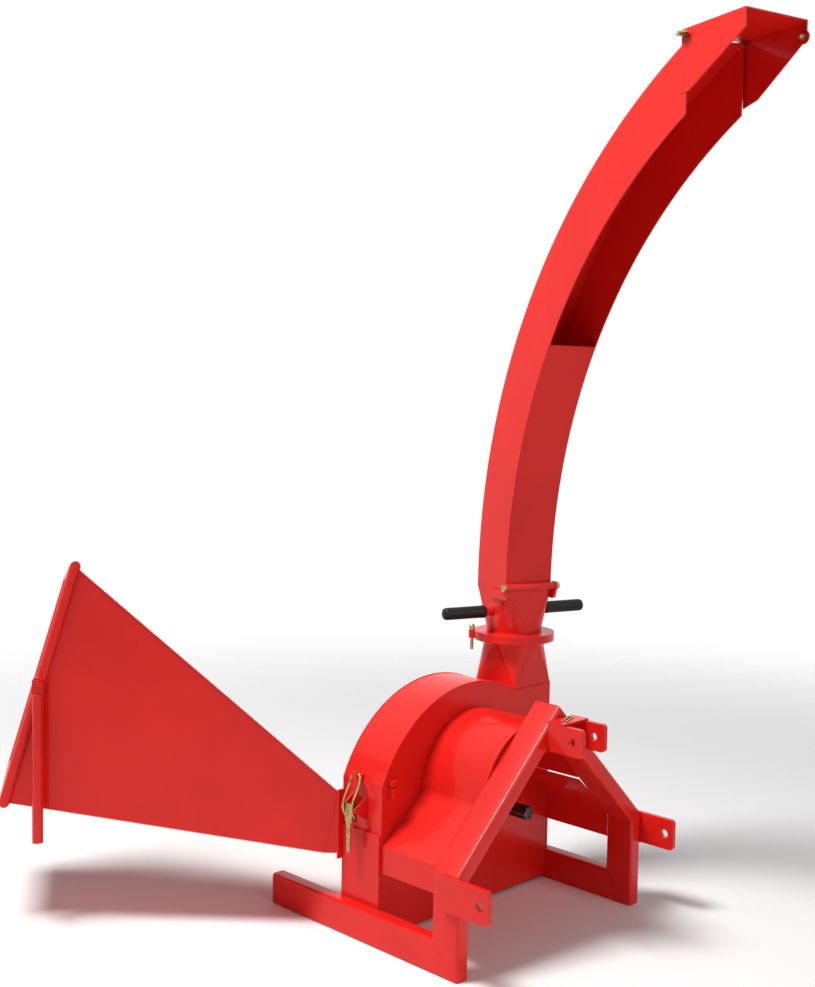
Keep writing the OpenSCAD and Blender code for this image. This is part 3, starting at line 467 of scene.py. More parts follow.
@dataclass
class Piece:
    """A mesh piece on its way to a body."""

    name: str
    body: Body
    slot: Slot
    finishes: Finishes

    @property
    def material(self) -> bpy.types.Material:
        """The finish of the piece's slot."""
        return self.finishes.built[self.slot]

    def from_mesh(self, mesh: bpy.types.Mesh, sharp: float = 35.0) -> bpy.types.Object:
        """Makes the object, smooths it and hands it to its body.

        Args:
            mesh: The piece's mesh, measured from the ground.
            sharp: Angle over which an edge stays sharp, in degrees.

        Returns:
            The finished object.
        """
        mesh.transform(Matrix.Translation(HITCH))
        mesh.shade_smooth()
        mesh.set_sharp_from_angle(angle=math.radians(sharp))
        mesh.materials.clear()
        mesh.materials.append(self.material)
        made = bpy.data.objects.new(self.name, mesh)
        bpy.context.scene.collection.objects.link(made)
        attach(made, self.body.value)
        LOG.info("built %s: %d faces", self.name, len(mesh.polygons))
        return made


def spread(start: float, stop: float, steps: int) -> list[float]:
    """Even values from start to stop, both of them included."""
    return [start + (stop - start) * i / steps for i in range(steps + 1)]


def circle(radius: float, steps: int) -> list[tuple[float, float]]:
    """Points round a circle, with the first one again at the end."""
    return [(radius * math.cos(a), radius * math.sin(a)) for a in spread(0.0, math.tau, steps)]


def upright(x: float, y: float, span: Sequence[float]) -> Path:
    """A straight path up from one height to another."""
    return [(x, y, z) for z in span]


def skin(rings: int, count: int, first: int = 0) -> list[Face]:
    """Faces between rings of points that follow one another.

    Args:
        rings: Number of rings.
        count: Points of each ring.
        first: Number of the first ring's first point.

    Returns:
        Four-sided faces, ring by ring.
    """
    faces: list[Face] = []
    for low in range(first, first + (rings - 1) * count, count):
        high = low + count
        for i in range(count):
            j = (i + 1) % count
            faces.append((low + i, low + j, high + j, high + i))
    return faces


def mesh_of(name: str, points: Sequence[Sequence[float]], faces: Sequence[Face]) -> bpy.types.Mesh:
    """Builds a closed mesh whose faces point outwards.

    Args:
        name: The mesh's name.
        points: Vertices in metres.
        faces: Vertex numbers of each face.

    Returns:
        The mesh.
    """
    mesh = bpy.data.meshes.new(name)
    mesh.from_pydata([tuple(p) for p in points], [], faces)
    work = bmesh.new()
    work.from_mesh(mesh)
    bmesh.ops.remove_doubles(work, verts=work.verts, dist=1e-6)
    bmesh.ops.recalc_face_normals(work, faces=work.faces)
    work.to_mesh(mesh)
    work.free()
    return mesh


class PathTree:
    """A Geometry Nodes tree that starts from paths and ends in one dressed mesh."""

    sharp: float = 60.0

    def __init__(self, name: str, *sizes: str) -> None:
        """Opens a tree.

        Args:
            name: The tree's name.
            sizes: Names of its inputs after the paths.
        """
        self.tree = bpy.data.node_groups.new(name, "GeometryNodeTree")
        self.graph = Graph(self.tree)
        sockets = [("Paths", "INPUT", "NodeSocketGeometry")]
        sockets += [(size, "INPUT", "NodeSocketFloat") for size in sizes]
        sockets += [("Mesh", "OUTPUT", "NodeSocketGeometry")]
        for label, way, kind in sockets:
            self.tree.interface.new_socket(label, in_out=way, socket_type=kind)
        self.inputs = self.graph.outputs("NodeGroupInput", ("Paths", *sizes))

    def close(self, shape: Value, material: bpy.types.Material) -> None:
        """Ends the tree with real, dressed geometry.

        Args:
            shape: What the tree has made.
            material: Its finish.
        """
        real = self.graph.add("GeometryNodeRealizeInstances", None, {"Geometry": shape})
        done = self.graph.add("GeometryNodeSetMaterial", None,
                              {"Geometry": real, "Material": material})
        self.graph.add("NodeGroupOutput", None, {"Mesh": done})

    def make(self, piece: Piece, paths: Iterable[Path], **sizes: float) -> bpy.types.Object:
        """Runs the tree over some paths and bakes the result to a piece.

        Args:
            piece: The piece to make.
            paths: Paths measured from the ground.
            sizes: Values of the tree's named inputs.

        Returns:
            The finished object.
        """
        points: Path = []
        edges: list[tuple[int, int]] = []
        for path in paths:
            first = len(points)
            points.extend(path)
            edges.extend((first + i, first + i + 1) for i in range(len(path) - 1))
        mesh = bpy.data.meshes.new(piece.name + "_paths")
        mesh.from_pydata(points, edges, [])
        carrier = bpy.data.objects.new(piece.name + "_paths", mesh)
        bpy.context.scene.collection.objects.link(carrier)
        modifier = carrier.modifiers.new("follow", "NODES")
        modifier.node_group = self.tree
        ids = {item.name: item.identifier for item in self.tree.interface.items_tree}
        for key, value in sizes.items():
            modifier[ids[key]] = value
        depsgraph = bpy.context.evaluated_depsgraph_get()
        made = bpy.data.meshes.new_from_object(carrier.evaluated_get(depsgraph))
        made.name = piece.name
        bpy.data.objects.remove(carrier)
        return piece.from_mesh(made, self.sharp)


@dataclass(frozen=True)
class WeldBead:
    """Rippled weld bead laid along seams with Geometry Nodes."""

    width: float = 0.0052
    pitch: float = 0.0042
    ripple: Point = (0.9, 0.9, 0.75)
    segments: int = 6
    rings: int = 4

    def tree(self, material: bpy.types.Material) -> PathTree:
        """Builds the tree that lays ripples along the edges it is given.

        Args:
            material: Finish of the bead.

        Returns:
            The tree, with inputs for the bead's width and pitch.
        """
        made = PathTree("weld_bead", "Width", "Pitch")
        graph = made.graph
        seams, width, pitch = made.inputs
        curve = graph.add("GeometryNodeMeshToCurve", None, {"Mesh": seams})
        steps = graph.add("GeometryNodeResampleCurve", {"mode": "LENGTH"},
                          {"Curve": curve, "Length": pitch})
        ball = graph.add("GeometryNodeMeshUVSphere", None, {
            "Segments": self.segments, "Rings": self.rings, "Radius": width * 0.5})
        along = graph.add("FunctionNodeAlignRotationToVector", {"axis": "Z"},
                          {"Vector": graph.add("GeometryNodeInputTangent")})
        laid = graph.add("GeometryNodeInstanceOnPoints", None, {
            "Points": steps, "Instance": ball, "Rotation": along, "Scale": self.ripple})
        made.close(laid, material)
        return made

    def lay(self, piece: Piece, seams: Iterable[Path]) -> None:
        """Lays one body's beads along seams measured from the ground."""
        self.tree(piece.material).make(piece, seams, Width=self.width, Pitch=self.pitch)


# Bead for creases and for seams that were ground down
FINE_BEAD = WeldBead(0.0018, 0.0016)


@dataclass(frozen=True)
class BentWire:
    """Round wire bent along a smooth path with Geometry Nodes."""

    radius: float = 0.003
    step: float = 0.0015
    segments: int = 14

    def tree(self, material: bpy.types.Material) -> PathTree:
        """Builds the tree that sweeps a round section along a smoothed path.

        Args:
            material: Finish of the wire.

        Returns:
            The tree, with inputs for the wire's radius and the step along it.
        """
        made = PathTree("bent_wire", "Radius", "Step")
        graph = made.graph
        route, radius, step = made.inputs
        curve = graph.add("GeometryNodeMeshToCurve", None, {"Mesh": route})
        smooth = graph.add("GeometryNodeCurveSplineType", {"spline_type": "CATMULL_ROM"},
                           {"Curve": curve})
        even = graph.add("GeometryNodeResampleCurve", {"mode": "LENGTH"},
                         {"Curve": smooth, "Length": step})
        section = graph.add("GeometryNodeCurvePrimitiveCircle", None,
                            {"Resolution": self.segments, "Radius": radius})
        swept = graph.add("GeometryNodeCurveToMesh", None,
                          {"Curve": even, "Profile Curve": section, "Fill Caps": True})
        made.close(swept, material)
        return made

    def bend(self, piece: Piece, route: Path) -> bpy.types.Object:
        """Bends one wire along a route measured from the ground."""
        tree = self.tree(piece.material)
        return tree.make(piece, [route], Radius=self.radius, Step=self.step)


@dataclass(frozen=True)
class FrameTube:
    """The A-frame's bent run of rectangular tube, from skid end to skid end."""

    half_w: float = 0.357
    high: float = 0.080
    wide: float = 0.040
    corner: float = 0.007
    skid_len: float = 0.649
    cap: float = 0.004
    cap_edge: float = 0.0012
    kink_z: float = 0.244
    ridge_z: float = 0.583
    steps: int = 6
    sharp: float = 25.0
    seam_inset: float = 0.005
    seam_share: float = 0.1

    @property
    def leg(self) -> Vector:
        """Direction of the left leg, up to the ridge."""
        return Vector((self.half_w, 0, self.ridge_z - self.kink_z)).normalized()

    @property
    def half_bend(self) -> float:
        """Half the angle between a post and its leg."""
        return math.atan2(self.leg.x, self.leg.z) / 2

    def section(self, inset: float = 0.0) -> list[tuple[float, float]]:
        """Rounded section of the left skid as X and Z.

        Args:
            inset: Distance that the outline is drawn in.

        Returns:
            The outline's points in order.
        """
        r = self.corner - inset
        left, right = self.corner - self.half_w, self.wide - self.half_w - self.corner
        low, high = self.corner, self.high - self.corner
        out = []
        for x, z, start in ((right, high, 0), (left, high, 90), (left, low, 180), (right, low, 270)):
            for angle in spread(start, start + 90, self.steps):
                turn = math.radians(angle)
                out.append((x + r * math.cos(turn), z + r * math.sin(turn)))
        return out

    def rings(self) -> list[list[Vector]]:
        """Outlines of the left half.

        Returns:
            Rings of points at the rear end, at each mitre and at the ridge.
        """
        bend = Vector((math.sin(self.half_bend), 0, math.cos(self.half_bend)))
        mitres = (
            (Vector((0, -1, 0)), Vector((0, 0, 0)), Vector((0, 1, -1))),
            (Vector((0, 0, 1)), Vector((-self.half_w, 0, self.kink_z)), bend),
            (self.leg, Vector((0, 0, self.ridge_z)), Vector((1, 0, 0))),
        )
        end = self.skid_len + self.cap
        rings = []
        for y, inset in ((end, self.cap_edge), (end - self.cap_edge, 0.0), (self.skid_len, 0.0)):
            rings.append([Vector((x, y, z)) for x, z in self.section(inset)])
        for way, origin, normal in mitres:
            slope = way.dot(normal)
            rings.append([p + way * ((origin - p).dot(normal) / slope) for p in rings[-1]])
        return rings

    def mitre_seams(self) -> list[Path]:
        """Ground-down seams.

        Returns:
            Paths at the foot of each post and at each bend.
        """
        drop = self.wide * math.tan(self.half_bend)
        inset = self.seam_inset
        seams: list[Path] = []
        for s in SIDES:
            outer, inner = s * self.half_w, s * (self.half_w - self.wide)
            for x in (outer, inner):
                seams.append([(x, inset, inset), (x, self.high, self.high)])
            for y in (0.0, self.high):
                start = (outer - s * inset, y, self.kink_z - drop * self.seam_share)
                seams.append([start, (inner, y, self.kink_z - drop)])
        return seams

    def build(self, finishes: Finishes) -> None:
        """Builds the tube and its mitre welds.

        Args:
            finishes: The built materials.
        """
        left = self.rings()
        right = [[Vector((-p.x, p.y, p.z)) for p in ring] for ring in reversed(left[:-1])]
        rings = left + right
        count = len(left[0])
        last = (len(rings) - 1) * count
        caps = [tuple(range(count)), tuple(range(last, last + count))]
        points = [p for ring in rings for p in ring]
        piece = Piece("frame_tube", Body.FRAME, Slot.PAINT, finishes)
        mesh = mesh_of(piece.name, points, skin(len(rings), count) + caps)
        made = piece.from_mesh(mesh, self.sharp)
        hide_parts("left_skid", "right_skid", "left_post", "right_post",
                    "left_frame_leg", "right_frame_leg")
        FINE_BEAD.lay(Piece("mitre_welds", Body.FRAME, Slot.PAINT, finishes), self.mitre_seams())


@dataclass
class Housing:
    """Rotor housing, guard, hitch plates and latch: where their seams run."""

    tube: FrameTube = FrameTube()
    front: float = 0.287
    back: float = 0.424
    back_gap: float = 0.005
    wall_x: float = 0.320
    split_z: float = 0.380
    gap_below: float = 0.001
    gap_above: float = 0.002
    wrap_r: float = 0.346
    wrap_z: float = 0.2484
    wrap_steps: int = 60
    spout_x0: float = 0.168
    spout_z: float = 0.550
    doubler_x: float = 0.328
    doubler_top: float = 0.262
    plate_run: float = 0.042
    plate_z: tuple[float, float] = (0.164, 0.244)
    ear_x: float = 0.037
    ear_t: float = 0.012
    ear_z: tuple[float, float] = (0.481, 0.536)
    bracket_y: tuple[float, ...] = (0.339, 0.345, 0.385, 0.391)
    bracket_z: tuple[float, float] = (0.289, 0.347)
    guard_r: float = 0.186
    guard_z: float = 0.343
    foot_z: float = 0.351
    foot_gap: tuple[float, float] = (0.005, 0.004)
    shoulder_z: float = 0.237
    band_z: tuple[float, float] = (0.170, 0.225)
    stitches: range = range(15, 180, 25)
    stitch_turns: range = range(-4, 5)
    fold_gap: float = 0.0002
    fold_section: tuple[tuple[float, float], ...] = (
        (0.0006, 0.0045), (0.0034, 0.0045), (-0.0015, -0.0065), (-0.0050, -0.0052))

    def frame_seams(self) -> list[Path]:
        """Seams on the fixed frame.

        Returns:
            Paths on the lower half, doublers, hitch plates, guard, ears and latch bracket.
        """
        seams: list[Path] = []
        top, rear = self.tube.high, self.back - self.back_gap
        low, high = self.plate_z
        for s in SIDES:
            wall, side = s * self.wall_x, s * self.tube.half_w
            for y in (self.front, self.back):
                seams.append(upright(wall, y, (top, self.split_z - self.gap_below)))
            for x, z in ((s * self.doubler_x, top), (wall, self.doubler_top)):
                seams.append([(x, self.front, z), (x, rear, z)])
            plate = ((0.0, low), (self.plate_run, low), (self.plate_run, high), (0.0, high))
            seams.append([(side, y, z) for y, z in plate])
            seams.append(upright(wall, self.tube.high, self.band_z))
            for x in (self.ear_x, self.ear_x + self.ear_t):
                seams.append(upright(s * x, 0.0, self.ear_z))
            out, down = self.foot_gap
            foot = (s * (self.guard_r + out), self.front, self.foot_z - down)
            seams.append([foot, (wall, self.front, self.shoulder_z)])
        seams += [upright(-self.wall_x, y, self.bracket_z) for y in self.bracket_y]
        seams += [[self.arch(middle + turn) for turn in self.stitch_turns] for middle in self.stitches]
        return seams

    def arch(self, angle: float) -> Point:
        """A point on the guard's arch where it meets the front plate."""
        turn = math.radians(angle)
        return (self.guard_r * math.cos(turn), self.front, self.guard_z + self.guard_r * math.sin(turn))

    def fold(self, finishes: Finishes) -> None:
        """Closes the guard's left crease with a strip set a little back from its faces.

        Args:
            finishes: The built materials.
        """
        count = len(self.fold_section)
        ends = (self.tube.high + self.fold_gap, self.front - self.fold_gap)
        points = [(x - self.guard_r, y, self.foot_z + z) for y in ends for x, z in self.fold_section]
        faces = [tuple(range(count)), tuple(range(count, 2 * count)), *skin(len(ends), count)]
        piece = Piece("guard_fold", Body.FRAME, Slot.PAINT, finishes)
        piece.from_mesh(mesh_of(piece.name, points, faces))

    def upper_seams(self) -> list[Path]:
        """Seams on the hinged upper half.

        Returns:
            Paths along the wrapped sheet, the right wall and the foot of the spout.
        """
        start = math.atan2(self.split_z - self.wrap_z, -self.wall_x)
        stop = math.atan2(self.spout_z - self.wrap_z, self.spout_x0)
        x0, x1, z, r = self.spout_x0, self.wall_x, self.spout_z, self.wrap_r
        seams: list[Path] = []
        for y in (self.front, self.back):
            turns = spread(start, stop, self.wrap_steps)
            seams.append([(r * math.cos(a), y, self.wrap_z + r * math.sin(a)) for a in turns])
            seams.append(upright(x1, y, (self.split_z + self.gap_above, z)))
        plan = ((x0, self.front), (x1, self.front), (x1, self.back), (x0, self.back))
        seams.append([(x, y, z) for x, y in (*plan, plan[0])])
        return seams


@dataclass
class Latch:
    """Wire bail of the over-centre latch on the left wall."""

    middle: float = 0.365
    wire: BentWire = BentWire()
    leg: tuple[Point, ...] = (
        (-0.3510, 0.0110, 0.2980), (-0.3515, 0.0155, 0.2985), (-0.3580, 0.0156, 0.3080),
        (-0.3615, 0.0158, 0.3220), (-0.3585, 0.0160, 0.3410), (-0.3490, 0.0162, 0.3590),
        (-0.3405, 0.0162, 0.3740), (-0.3358, 0.0155, 0.3890), (-0.3347, 0.0140, 0.3970),
        (-0.3347, 0.0106, 0.4010), (-0.3347, 0.0050, 0.4015))

    def build(self, finishes: Finishes) -> None:
        """Bends the bail from lever to keeper and back.

        Args:
            finishes: The built materials.
        """
        up = [(x, self.middle - y, z) for x, y, z in self.leg]
        down = [(x, self.middle + y, z) for x, y, z in reversed(self.leg)]
        made = self.wire.bend(Piece("bent_bail", Body.BAIL, Slot.ZINC, finishes), up + down)
        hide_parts("latch_bail")


@dataclass
class Discharge:
    """Swivel, neck, chute and hood, laid out along the throw."""

    swivel: tuple[float, float] = (0.244, 0.3555)
    throw: float = 253.6
    spout_r: float = 0.080
    spout_foot: Point = (0.076, 0.0685, 0.552)
    flange_z: float = 0.672
    neck_z: float = 0.6943
    neck_r: float = 0.073
    neck_back: float = -0.075
    neck_front: float = 0.065
    neck_top: float = 0.8157
    ear_reach: tuple[float, float] = (0.005, 0.073)
    ear_z: float = 0.791
    chute_w: float = 0.146
    chute_c: tuple[float, float] = (1.355, 0.818)
    chute_out: float = 1.430
    chute_in: float = 1.290
    chute_sheet: float = 0.003
    chute_steps: int = 80
    reach: float = 0.724
    belly: float = 30.0
    bar_z: float = 0.752
    bar_r: float = 0.0125
    bar_steps: int = 24
    ring_steps: int = 64
    seam_gap: float = 0.0005
    ear_gap: float = 0.0004
    bar_gap: float = 0.001
    crease_gap: float = 0.002
    grip_r: float = 0.017
    grip_root: float = 0.098
    grip_end: float = 0.225
    grip_steps: int = 40
    grip_sharp: float = 50.0
    # Grip profile: how far inside the radius, and how far from the root or from the end
    root_profile: tuple[tuple[float, float], ...] = (
        (0.0045, 0.0005), (0.0015, 0.0), (0.0004, 0.0004), (0.0, 0.0015), (0.0, 0.012), (0.0005, 0.016))
    end_profile: tuple[tuple[float, float], ...] = (
        (0.0005, 0.012), (0.0008, 0.006), (0.0025, 0.0022), (0.006, 0.0), (0.017, 0.0))

    def place(self, reach: float, across: float, z: float) -> Point:
        """A point given along the throw.

        Args:
            reach: Distance from the swivel's axis along the throw.
            across: Distance to the side of the throw.
            z: Height over the ground.

        Returns:
            The point measured from the ground under the posts.
        """
        angle = math.radians(self.throw)
        c, s = math.cos(angle), math.sin(angle)
        return (self.swivel[0] + reach * c - across * s, self.swivel[1] + reach * s + across * c, z)

    def about(self, x: float, y: float, z: float) -> Point:
        """A point given from the swivel's axis, along X and Y."""
        return (self.swivel[0] + x, self.swivel[1] + y, z)

    def ring(self, radius: float, z: float) -> Path:
        """A closed circle about the swivel."""
        return [self.about(x, y, z) for x, y in circle(radius, self.ring_steps)]

    def upper_seams(self) -> list[Path]:
        """Seams under the spout's flange."""
        return [self.ring(self.spout_r, self.flange_z - self.seam_gap)]

    def swivel_seams(self) -> list[Path]:
        """Seams that turn with the swivel.

        Returns:
            Paths round the neck and the stubs of the turning bar, and under the hinge ears.
        """
        seams = [self.ring(self.neck_r + self.seam_gap, self.neck_z + self.seam_gap)]
        for side in SIDES:
            across = side * (self.neck_r + self.bar_gap)
            stub = circle(self.bar_r, self.bar_steps)
            seams.append([self.place(x, across, self.bar_z + z) for x, z in stub])
            across = side * (self.chute_w / 2 + self.ear_gap)
            seams.append([self.place(x, across, self.ear_z) for x in self.ear_reach])
        return seams

    def spout_creases(self) -> list[Path]:
        """Creases of the transition.

        Returns:
            Paths from the corners of its square foot to its round top.
        """
        half_x, half_y, low = self.spout_foot
        high, r = self.flange_z - self.crease_gap, self.spout_r
        seams: list[Path] = []
        for sx in SIDES:
            for sy in SIDES:
                corner = self.about(sx * half_x, sy * half_y, low)
                for x, y in ((sx * r, 0.0), (0.0, sy * r)):
                    seams.append([corner, self.about(x, y, high)])
        return seams

    def neck_creases(self) -> list[Path]:
        """Creases of the neck.

        Returns:
            Paths from its round foot to the corners of its square top.
        """
        low, r = self.neck_z + self.crease_gap, self.neck_r
        seams: list[Path] = []
        for reach, way in zip((self.neck_back, self.neck_front), SIDES):
            for side in SIDES:
                corner = self.place(reach, side * self.chute_w / 2, self.neck_top)
                for x, y in ((way * r, 0.0), (0.0, side * r)):
                    seams.append([self.place(x, y, low), corner])
        return seams

    def arc(self, radius: float, across: float, stop: float) -> Path:
        """A run up the chute.

        Args:
            radius: Radius of the run about the chute's centre.
            across: Distance to the side of the throw.
            stop: Angle at which the run ends, in degrees.

        Returns:
            The path from the chute's foot.
        """
        centre, foot = self.chute_c
        path = []
        for angle in spread(0.0, math.radians(stop), self.chute_steps):
            reach = centre - radius * math.cos(angle)
            path.append(self.place(reach, across, foot + radius * math.sin(angle)))
        return path

    def chute_seams(self) -> list[Path]:
        """Seams inside the chute's corners.

        Returns:
            Paths along the back to the outlet and along the belly to its end.
        """
        inner = self.chute_w / 2 - self.chute_sheet
        back, front = self.chute_out - self.chute_sheet, self.chute_in + self.chute_sheet
        outlet = math.degrees(math.acos((self.chute_c[0] - self.reach) / back))
        seams: list[Path] = []
        for side in SIDES:
            seams.append(self.arc(back, side * inner, outlet))
            seams.append(self.arc(front, side * inner, self.belly))
        return seams

    def grips(self, finishes: Finishes) -> None:
        """Builds the smooth grips, lathed from one profile.

        Args:
            finishes: The built materials.
        """
        r, count = self.grip_r, self.grip_steps
        profile = [(r - inset, self.grip_root + along) for inset, along in self.root_profile]
        profile += [(r - inset, self.grip_end - along) for inset, along in self.end_profile]
        points: list[Point] = []
        faces: list[Face] = []
        for side in SIDES:
            first = len(points)
            for radius, y in profile:
                ring = circle(radius, count)[:-1]
                points.extend(self.place(x, side * y, self.bar_z + z) for x, z in ring)
            faces += [*skin(len(profile), count, first), tuple(range(first, first + count))]
        piece = Piece("smooth_grips", Body.SWIVEL, Slot.RUBBER, finishes)
        made = piece.from_mesh(mesh_of(piece.name, points, faces), self.grip_sharp)
        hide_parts("handle_grips")


@dataclass
class Hopper:
    """Feed duct and hopper, laid out along the feed to the rear left."""

    near: float = 0.067
    width: float = 0.170
    low: float = 0.192
    high: float = 0.338
    fall: float = 0.084
    reach: float = 0.541
    throat_lean: float = 12.55
    flare: float = 8.0
    floor_rise: float = 8.24
    roof_rise: float = 40.2
    rim_reach: float = 1.368
    rim_lean: float = 16.5
    rim_turn: float = 13.5
    rim_r: float = 0.0135
    sheet: float = 0.003
    duct: float = 0.004
    plate_y: float = 0.424

    @property
    def low_reach(self) -> float:
        """How far the duct reaches at its floor."""
        return self.reach + (self.high - self.low) * math.tan(math.radians(self.throat_lean))

    @staticmethod
    def place(p: Vector) -> Point:
        """A point given along the feed, against the crossing direction and up."""
        q = math.sqrt(0.5)
        return (-q * p.x - q * p.y, q * p.x - q * p.y, p.z)

    @staticmethod
    def plane(normal: Sequence[float], point: Sequence[float], shift: float = 0.0) -> Plane:
        """A plane as its unit normal and its distance, moved out by a shift."""
        n = Vector(normal).normalized()
        return n, n.dot(Vector(point)) + shift

    @staticmethod
    def meet(*planes: Plane) -> Vector:
        """The point that three planes share."""
        rows = Matrix([list(n) for n, _ in planes])
        return rows.inverted() @ Vector([d for _, d in planes])

    def sides(self, out: float) -> list[Plane]:
        """Planes of the four panels.

        Args:
            out: Distance that the planes are moved out.

        Returns:
            Near panel, floor, far panel and roof.
        """
        rise, flare, roof = (math.radians(v) for v in (self.floor_rise, self.flare, self.roof_rise))
        far = (self.reach, -self.near - self.width, 0)
        ridge = (self.reach, -self.near, self.high)
        return [
            self.plane((0, 1, 0), (0, -self.near, 0), out),
            self.plane((math.sin(rise), 0, -math.cos(rise)), (self.low_reach, 0, self.low), out),
            self.plane((-math.sin(flare), -math.cos(flare), 0), far, out),
            self.plane((-math.tan(roof), -self.fall / self.width, 1), ridge, out),
        ]

    def ends(self) -> tuple[Plane, Plane]:
        """Planes between which the panels run.

        Returns:
            The duct's end, and the plane in front of the rim tube.
        """
        lean, rim, turn, rise = (
            math.radians(v) for v in (self.throat_lean, self.rim_lean, self.rim_turn, self.floor_rise))
        rim_low = self.low + (self.rim_reach - self.low_reach) * math.tan(rise)
        throat = self.plane((math.cos(lean), 0, math.sin(lean)), (self.reach, 0, self.high))
        foot = (self.rim_reach, -self.near, rim_low)
        mouth = self.plane((1, math.tan(turn), math.tan(rim)), foot, -self.rim_r)
        return throat, mouth

    def seams(self) -> list[Path]:
        """Seams of the hopper.

        Returns:
            Paths along the panels' corners, at the duct and at the rim tube.
        """
        outer = self.sides(self.sheet)
        corners = list(zip(outer, outer[1:] + outer[:1]))
        start, stop = ([self.meet(a, b, end) for a, b in corners] for end in self.ends())
        seams = [[self.place(a), self.place(b)] for a, b in zip(start, stop)]
        for ring in (start, stop):
            seams.append([self.place(p) for p in (*ring, ring[0])])
        t = self.duct
        for y in (self.near - t, self.near + self.width + t):
            x = math.sqrt(2) * y - self.plate_y
            top = self.high - (y - self.near) * self.fall / self.width + t
            seams.append(upright(x, self.plate_y, (self.low - t, top)))
        return seams


@dataclass(frozen=True)
class Lamp:
    """A soft square lamp."""

    name: str
    place: Point
    size: float
    power: float

    def build(self, target: Point) -> None:
        """Hangs the lamp.

        Args:
            target: Point that it shines at.
        """
        data = bpy.data.lights.new(self.name, "AREA")
        data.size = self.size
        data.energy = self.power
        made = bpy.data.objects.new(self.name, data)
        made.location = Vector(self.place) + HITCH
        aim = Vector(target) - Vector(self.place)
        made.rotation_euler = aim.to_track_quat("-Z", "Y").to_euler()
        bpy.context.scene.collection.objects.link(made)


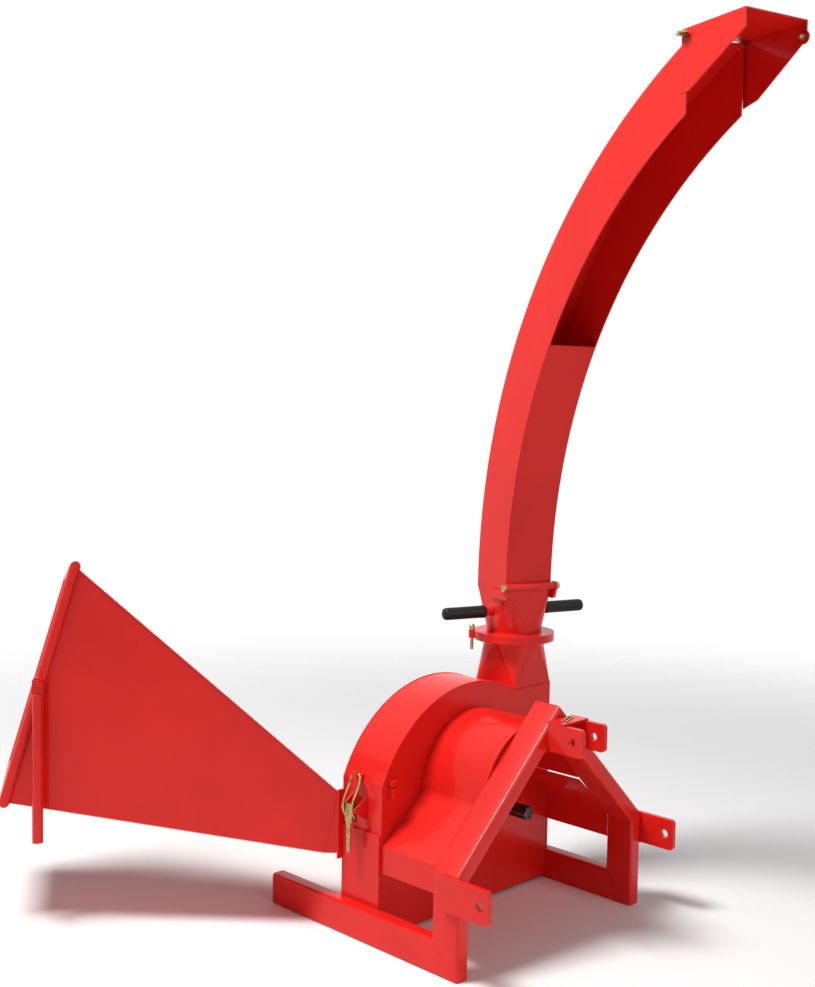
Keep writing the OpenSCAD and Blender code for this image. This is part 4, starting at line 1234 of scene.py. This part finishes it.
@dataclass
class Studio:
    """Pale floor, soft lights and the camera."""

    eye: Point = (-2.4475, -1.8818, 1.2920)
    yaw: float = 45.358
    pitch: float = -3.715
    roll: float = 1.028
    lens: float = 56.48
    sensor: float = 36.0
    sight: float = 200.0
    light: float = 0.15
    target: Point = (-0.1, 0.3, 0.8)
    lamps: tuple[Lamp, ...] = (
        Lamp("key", (-2.15, 1.25, 5.2), 1.5, 320.0),
        Lamp("fill", (0.3, -4.4, 2.4), 3.0, 60.0),
    )
    floor_r: float = 9.0
    floor_steps: int = 96
    floor_fade: tuple[float, float] = (1.6, 4.5)
    floor_dark: Colour = (0.90, 0.90, 0.90)
    floor_pale: Colour = (0.94, 0.94, 0.94)

    def camera(self) -> None:
        """Stands the camera where the photograph was taken from."""
        yaw, pitch, roll = (math.radians(v) for v in (self.yaw, self.pitch, self.roll))
        level = Vector((math.sin(yaw), math.cos(yaw), 0))
        right = Vector((math.cos(yaw), -math.sin(yaw), 0))
        ahead = level * math.cos(pitch) + Vector((0, 0, math.sin(pitch)))
        up = Vector((0, 0, math.cos(pitch))) - level * math.sin(pitch)
        across = right * math.cos(roll) + up * math.sin(roll)
        upward = up * math.cos(roll) - right * math.sin(roll)
        data = bpy.data.cameras.new("camera")
        data.sensor_fit = "HORIZONTAL"
        data.sensor_width = self.sensor
        data.lens = self.lens
        data.clip_end = self.sight
        made = bpy.data.objects.new("camera", data)
        turn = Matrix((across, upward, -ahead)).transposed()
        made.matrix_world = Matrix.Translation(Vector(self.eye) + HITCH) @ turn.to_4x4()
        bpy.context.scene.collection.objects.link(made)
        bpy.context.scene.camera = made

    def world(self) -> None:
        """White to the camera and in reflections, and an even light on the object."""
        world = bpy.data.worlds.new("studio")
        world.use_nodes = True
        graph = Graph(world.node_tree)
        seen_by = ("Is Camera Ray", "Is Glossy Ray", "Is Transmission Ray")
        camera, glossy, through = graph.outputs("ShaderNodeLightPath", seen_by)
        strength = self.light + (camera + glossy + through) * (1.0 - self.light)
        sky = graph.add("ShaderNodeBackground", None, {"Color": (1, 1, 1, 1), "Strength": strength})
        graph.add("ShaderNodeOutputWorld", None, {"Surface": sky})
        bpy.context.scene.world = world

    def floor_material(self) -> bpy.types.Material:
        """Builds the floor's finish.

        Returns:
            A pale material that fades out with the distance from the middle.
        """
        material = bpy.data.materials.new("pale_floor")
        material.use_nodes = True
        graph = Graph(material.node_tree)
        colour = graph.blend(graph.noise(1.5, 4.0), self.floor_dark, self.floor_pale)
        shader = graph.add("ShaderNodeBsdfPrincipled", None, {"Base Color": colour, "Roughness": 0.7})
        away = graph.add("ShaderNodeVectorMath", {"operation": "LENGTH"}, {0: graph.place()}, "Value")
        clear = graph.add("ShaderNodeBsdfTransparent")
        fade = graph.band(away, *self.floor_fade)
        mixed = graph.add("ShaderNodeMixShader", None, {0: fade, 1: shader, 2: clear})
        graph.add("ShaderNodeOutputMaterial", None, {"Surface": mixed})
        return material

    def floor(self) -> None:
        """Lays a pale round floor that fades into the backdrop."""
        mesh = bpy.data.meshes.new("floor")
        work = bmesh.new()
        bmesh.ops.create_circle(work, cap_ends=True, segments=self.floor_steps, radius=self.floor_r)
        work.to_mesh(mesh)
        work.free()
        mesh.materials.append(self.floor_material())
        made = bpy.data.objects.new("floor", mesh)
        made.location = HITCH
        bpy.context.scene.collection.objects.link(made)

    def build(self) -> None:
        """Sets up the whole studio."""
        bpy.context.scene.view_settings.view_transform = "Standard"
        self.camera()
        self.world()
        self.floor()
        for lamp in self.lamps:
            lamp.build(self.target)


def main() -> None:
    """Builds every sub-assembly in order."""
    logging.basicConfig(level=logging.INFO, format="%(message)s")
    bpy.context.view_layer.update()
    Studio().build()
    finishes = Finishes()
    finishes.build()
    finishes.dress_nodes()
    FrameTube().build(finishes)
    housing, discharge, hopper, bead = Housing(), Discharge(), Hopper(), WeldBead()
    housing.fold(finishes)
    discharge.grips(finishes)
    Latch().build(finishes)
    for body, seams in (
        (Body.FRAME, housing.frame_seams() + hopper.seams()),
        (Body.UPPER, housing.upper_seams() + discharge.upper_seams()),
        (Body.SWIVEL, discharge.swivel_seams()),
        (Body.CHUTE, discharge.chute_seams()),
    ):
        bead.lay(Piece(f"{body.value}_welds", body, Slot.PAINT, finishes), seams)
    for name, body, seams in (
        ("transition_creases", Body.UPPER, discharge.spout_creases()),
        ("neck_creases", Body.SWIVEL, discharge.neck_creases()),
    ):
        FINE_BEAD.lay(Piece(name, body, Slot.PAINT, finishes), seams)


if __name__ == "__main__":
    main()
